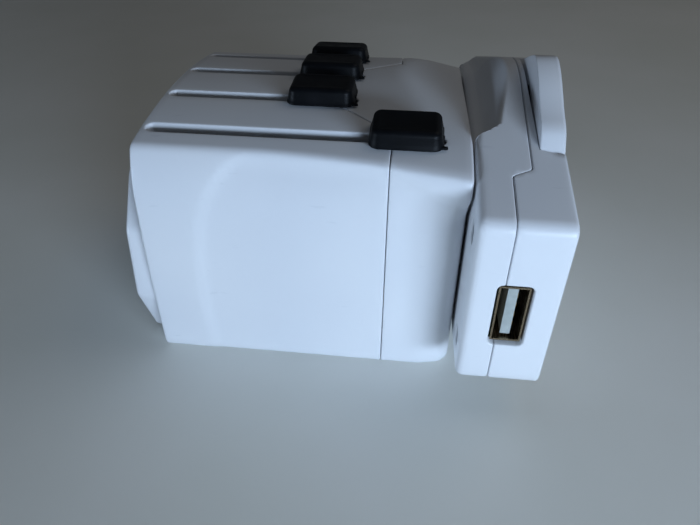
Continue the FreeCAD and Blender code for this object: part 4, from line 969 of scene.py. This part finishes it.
def turned_profile(axial, radial, count):
    """A profile of axial and radial places carried round the X axis."""
    turn = np.linspace(0.0, 2.0 * np.pi, count, endpoint=False)
    axial, radial = np.array(axial, float)[:, None], np.array(radial, float)[:, None]
    points = np.stack([axial + 0.0 * turn, radial * np.sin(turn), radial * np.cos(turn)], axis=-1)
    return clean(points.reshape(-1, 3), grid_faces(len(axial), count, ring=True))


def arc(centre, radius, start, stop, count=7):
    """Arc of a profile: axial and radial places about a centre, angles in degrees."""
    angle = np.radians(np.linspace(start, stop, count))
    return centre[0] + radius * np.cos(angle), centre[1] + radius * np.sin(angle)


def disc_share(y, z):
    """Share of the full radius that the cover keeps in a direction: its top is a low ridge.

    Formula: the place on the circle is scaled towards the centre until it lies under the two
    slightly bowed slopes of the ridge, with the change rounded.
    """
    aside = y - RIDGE_SIDE
    bow = np.clip(-aside / 11.0, 0.0, 1.0)
    fall = np.where(aside < 0.0, -0.47, 0.36) * aside - 1.2 * bow * (2.0 - bow)
    ridge = RIDGE_TOP - np.sqrt(fall**2 + 0.25) + 0.5
    return soft_lower(1.0, np.where(z > 12.0, ridge / np.maximum(z, 1.0), 1.0), 0.03)


def make_disc():
    """Round cover of the module: a flat cap with a soft rim, hollow on its inner side."""
    left, right, rim = DISC_LEFT, MODULE_RIGHT, DISC_RADIUS
    back, hollow = MODULE_RIGHT - MODULE_WALL, DISC_RADIUS - 6.8
    outer_a, outer_r = arc((right - 0.8, rim - 0.8), 0.8, 0.0, 90.0)
    inner_a, inner_r = arc((left + 0.3, rim - 0.3), 0.3, 90.0, 180.0, 4)
    axial = [right, right, *outer_a, *inner_a, left, left + 0.2, back, back]
    radial = [0.0, rim - 3.0, *outer_r, *inner_r, hollow + 0.2, hollow, hollow, 0.0]
    points, faces = turned_profile(axial, radial, 360)
    on_rim = rim * unit(points[:, 1:])
    points[:, 1:] *= disc_share(on_rim[:, 0], on_rim[:, 1])[:, None]
    return facing_out(points + (0.0, 0.0, DISC_LEVEL), faces)


new_piece("module_end_disc", [make_disc()], white_abs, "charger_module", ["end_disc"])


# Slider buttons.


def rounded_tower(half_x, half_y, corner, profile, dish=0.0):
    """Closed block of stacked rounded rectangles. The profile gives each height and its inset.

    Formula: the outline of a rectangle with round corners, drawn in by the inset of its height.
    The top closes in rings towards its middle, lowered by a shallow bowl.
    """
    rings = [box_path(half_x - inset, half_y - inset, max(corner - inset, 0.12), count=9)
             for _, inset in profile]
    heights = [height for height, _ in profile]
    floor, top = heights[0], heights[-1]
    last = rings[-1]
    for share in (0.97, 0.9, 0.8, 0.65, 0.45, 0.25, 0.0):
        rings.append(last * share)
        heights.append(top - dish * (1.0 - share**4))
    rings = [0.0 * last] + rings
    heights = [floor] + heights
    rows = [np.column_stack([ring, np.full(len(ring), height)]) for ring, height in zip(rings, heights)]
    return facing_out(*clean(np.concatenate(rows), grid_faces(len(rows), len(last), ring=True)))


def button_profile(top):
    """Heights and insets of a button: a thin skirt, a leaning wall and a rounded upper edge."""
    lean = np.tan(np.radians(14.0))
    radius = 1.15
    edge = np.radians(np.linspace(0.0, 90.0, 8))[1:]
    wall = np.array([0.5, 1.2, top - radius])
    insets = 0.12 + (wall - 0.5) * lean
    skirt = [(0.0, 0.1), (0.05, 0.0), (0.3, 0.0), (0.42, 0.05)]
    rounded = zip(top - radius + radius * np.sin(edge), insets[-1] + 1.1 * radius * (1 - np.cos(edge)))
    return skirt + list(zip(wall, insets)) + list(rounded)


def make_button(name):
    """Slider button with a slightly dished top, standing square to the crown.

    A small nib stands off its near corner at the module end, and its neck goes down through the
    slot. Button and neck keep a little play to the slot's end.
    """
    side, right = SLOTS[name]
    half, neck_half = 7.15, 6.5
    middle, neck_middle = right - 7.55, right - 6.8
    block = rounded_tower(half, 5.0, 2.2, button_profile(3.4), dish=0.22)
    nib = rounded_tower(0.7, 0.4, 0.35, [(0.0, 0.08), (0.05, 0.0), (0.3, 0.0), (0.44, 0.07), (0.5, 0.2)])
    neck = rounded_tower(neck_half, 1.1, 1.09, [(-4.4, 0.05), (-4.35, 0.0), (0.3, 0.0), (0.35, 0.05)])
    tilt = np.arcsin(side / CROWN_RADIUS)
    ride = CROWN_RADIUS + 0.3
    centre = CROWN_TOP - CROWN_RADIUS
    parts = []
    for (points, faces), shift in ((block, (0.0, 0.7, 0.0)), (nib, (half, -3.05, 0.0))):
        points = points + shift
        y = points[:, 1] * np.cos(tilt) + (points[:, 2] + ride) * np.sin(tilt)
        z = (points[:, 2] + ride) * np.cos(tilt) - points[:, 1] * np.sin(tilt)
        parts.append((np.column_stack([points[:, 0] + middle, y, z + centre]), faces))
    parts.append((neck[0] + (neck_middle, side, centre + ride * np.cos(tilt) + 0.4), neck[1]))
    new_piece(name + "_button", parts, black_abs, name + "_slider",
              [name + "_slider_button"], sharp=50.0)


for plug in SLOTS:
    make_button(plug)


# Plug pins.


def pin_bar(root, tip, side, level, half_wide, half_high, blunt):
    """Rectangular plug pin with soft long edges and a tip that narrows over its last stretch.

    Formula: a tower laid along the case, its height running towards the wall.
    """
    length = root - tip
    profile = [(0.0, 0.05), (0.05, 0.0), (length - 2.4 * blunt, 0.0), (length - 1.2 * blunt, 0.3 * blunt),
               (length - 0.4 * blunt, 0.65 * blunt), (length, blunt)]
    points, faces = rounded_tower(half_wide, half_high, 0.4, profile)
    laid = np.column_stack([root - points[:, 2], side + points[:, 0], level + points[:, 1]])
    return facing_out(laid, faces)


def pin_blade(root, tip, side, thick, lean, hole):
    """Flat plug blade as a wall between two faces, with rounded tip corners and a cross hole.

    Formula: the flat outline is a rectangle with round corners less the hole, and both faces
    are drawn in by a quarter circle near its edges.
    """
    half, middle = 0.5 * (root - tip), 0.5 * (root + tip)
    half_wide, corner, edge_radius = 0.5 * BLADE_WIDTH, 1.3, 0.25
    hole_place = (tip + 6.0 - middle, 0.0)

    def distance(along, up):
        edge = -around_box(along, up, half, half_wide, corner)
        eye = np.hypot(along - hole_place[0], up - hole_place[1]) - hole
        return np.minimum(edge, eye) if hole else edge

    paths = []
    for inset in (0.0, 0.08, 0.17, edge_radius):
        paths.append((box_path(half - inset, half_wide - inset, corner - inset), True))
        if hole:
            paths.append((box_path(hole + inset, hole + inset, hole + inset - 0.001, 0.0, hole_place), True))
    points = grid_points(np.arange(-half, half, 1.0), np.arange(-half_wide, half_wide, 0.9), 0.4, distance)
    flat, faces = trimmed_net(points, paths, lambda along, up: distance(along, up) > 0.0, bounded=True)
    lift = 0.5 * thick - quarter(np.maximum(distance(flat[:, 0], flat[:, 1]), 0.0), edge_radius)
    outer = np.column_stack([flat, lift])
    faces = facing(outer, faces, lambda centre: centre * 0.0 + (0.0, 0.0, 1.0))
    points, faces = shell_mesh([(outer, outer * (1.0, 1.0, -1.0), faces)])
    across = points[:, 2] * np.cos(lean) - points[:, 1] * np.sin(lean)
    height = points[:, 2] * np.sin(lean) + points[:, 1] * np.cos(lean)
    return facing_out(np.column_stack([middle + points[:, 0], side + across, BLADE_LEVEL + height]), faces)


def pin_rod(root, tip, side, radius):
    """Round plug pin with a domed tip: a profile carried round its own axis."""
    dome = 0.8 * radius
    dome_a, dome_r = arc((tip + dome, radius - dome), dome, 180.0, 90.0)
    points, faces = turned_profile([tip, *dome_a, root - 0.1, root, root],
                                   [0.0, *dome_r, radius, radius - 0.1, 0.0], 48)
    return facing_out(points + (0.0, side, EUROPE_LEVEL), faces)


# The sleeved pins have a bare end. Its metal starts a little inside the sleeve.
inside_sleeve = 0.5
uk_metal = [pin_bar(UK_TIP + UK_BARE + inside_sleeve, UK_TIP, side, UK_LEVEL, 3.15, 1.98, 0.9)
            for side in (-UK_HALF, UK_HALF)]
uk_metal.append(pin_bar(CARRIAGE_FACE["uk"], UK_EARTH_TIP, 0.0, UK_EARTH_LEVEL, 1.98, 3.98, 1.0))
uk_sleeves = [pin_bar(CARRIAGE_FACE["uk"], UK_TIP + UK_BARE, side, UK_LEVEL, 3.175, 2.0, 0.08)
              for side in (-UK_HALF, UK_HALF)]
europe_metal = [pin_rod(EUROPE_TIP + EUROPE_BARE + inside_sleeve, EUROPE_TIP, side, EUROPE_RADIUS)
                for side in (-EUROPE_HALF, EUROPE_HALF)]
europe_sleeves = [pin_rod(CARRIAGE_FACE["europe"], EUROPE_TIP + EUROPE_BARE, side, 1.9)
                  for side in (-EUROPE_HALF, EUROPE_HALF)]
new_piece("uk_pin_metal", uk_metal, pin_metal, "uk_slider", ["uk_pins"])
new_piece("uk_pin_sleeves", uk_sleeves, pin_sleeve, "uk_slider")
for plug, (thick, tip, hole, middle, half, lean) in BLADES.items():
    blades = [pin_blade(CARRIAGE_FACE[plug], tip, middle + sign * half, thick, np.radians(-sign * lean), hole)
              for sign in (-1, 1)]
    new_piece(plug + "_pin_blades", blades, pin_metal, plug + "_slider", [plug + "_pins"])
new_piece("europe_pin_metal", europe_metal, pin_metal, "europe_slider", ["europe_pins"])
new_piece("europe_pin_sleeves", europe_sleeves, pin_sleeve, "europe_slider")


# Finishes of the pieces that keep their CAD shape.
FINISHES = {
    nylon: ["uk_carriage", "us_carriage", "australia_carriage", "europe_carriage", "divider", "pin_holder"],
    brass: ["live_rail", "neutral_rail", "earth_strip", "fuse_clips", "usb_contacts"],
    pin_metal: ["module_pins"],
    port_steel: ["usb_shell"],
    # The port tongue's grey tone is painted shade for the shadow inside the port.
    tongue_plastic_painted_shade: ["usb_tongue"],
    screw_steel: ["module_screws"],
    fuse_ceramic: ["fuse"],
    laminate: ["circuit_board"],
    tape: ["transformer"],
    can_film: ["input_capacitor", "output_capacitor"],
    epoxy: ["controller_chip", "bridge_rectifier"],
}
for finish, names in FINISHES.items():
    for name in names:
        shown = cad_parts[name]
        shown.data.materials.clear()
        shown.data.materials.append(finish)


# Table top, light and camera.


def make_table():
    """Pale plain table top: a level square whose middle lies under the adapter."""
    steps = np.linspace(-1500.0, 1500.0, 13)
    x, y = [part.reshape(-1) for part in np.meshgrid(steps, steps, indexing="ij")]
    verts = np.column_stack([x, y, np.full(len(x), -0.02)])
    table = mesh_object("table_top", verts, grid_faces(13, 13)[:, ::-1].tolist(), table_paint)


def put(name, data, place, axes):
    """A lamp or camera at a place in millimetres, turned to its right, up and back axes."""
    item = bpy.data.objects.new(name, data)
    turn = Matrix(np.column_stack(axes).tolist()).to_4x4()
    item.matrix_world = Matrix.Translation([0.001 * part for part in place]) @ turn
    bpy.context.scene.collection.objects.link(item)
    return item


def add_lamp(name, place, target, watts, width, height, colour, opening):
    """A soft rectangular lamp at a place in millimetres, aimed at a target.

    opening is the angle in degrees that its light fills, so that little falls on the table nearby.
    """
    light = bpy.data.lights.new(name, "AREA")
    light.shape = "RECTANGLE"
    light.size, light.size_y = 0.001 * width, 0.001 * height
    light.energy = watts
    light.spread = np.radians(opening)
    light.color = srgb(colour)[:3]
    back = unit(np.array(place, float) - np.array(target, float))
    side = unit(np.cross((0.0, 0.0, 1.0), back))
    put(name, light, place, [side, np.cross(back, side), back])


def set_camera():
    """Camera at the photograph's viewing angle: place, axes and focal length in millimetres."""
    lens = bpy.data.cameras.new("photo_view")
    lens.sensor_fit = "HORIZONTAL"
    lens.sensor_width = 36.0
    lens.lens = 590.367 / 700.0 * lens.sensor_width
    lens.clip_start, lens.clip_end = 0.01, 10.0
    bpy.context.scene.camera = put("photo_view", lens, (14.8976, -126.0735, 99.7637), [
        (0.9936521, 0.11249192, 0.00103701),
        (-0.06899424, 0.60210009, 0.79543402),
        (0.08885552, -0.79045623, 0.60603931),
    ])


make_table()
add_lamp("window_light", (210.0, -330.0, 88.0), (0.0, 0.0, 25.0), 0.33, 200.0, 70.0, "#CDE4FF", 92.0)
add_lamp("front_fill", (-560.0, -360.0, 22.0), (0.0, 0.0, 22.0), 0.6, 300.0, 40.0, "#CDE4FF", 120.0)
add_lamp("sky_light", (360.0, 160.0, 560.0), (0.0, 0.0, 30.0), 0.32, 400.0, 400.0, "#FFF8EE", 180.0)
set_camera()

world = bpy.data.worlds.new("studio_air")
world.use_nodes = True
world.node_tree.nodes["Background"].inputs["Color"].default_value = srgb("#C4CEDA")
world.node_tree.nodes["Background"].inputs["Strength"].default_value = 0.085
bpy.context.scene.world = world
bpy.context.scene.view_settings.view_transform = "Standard"
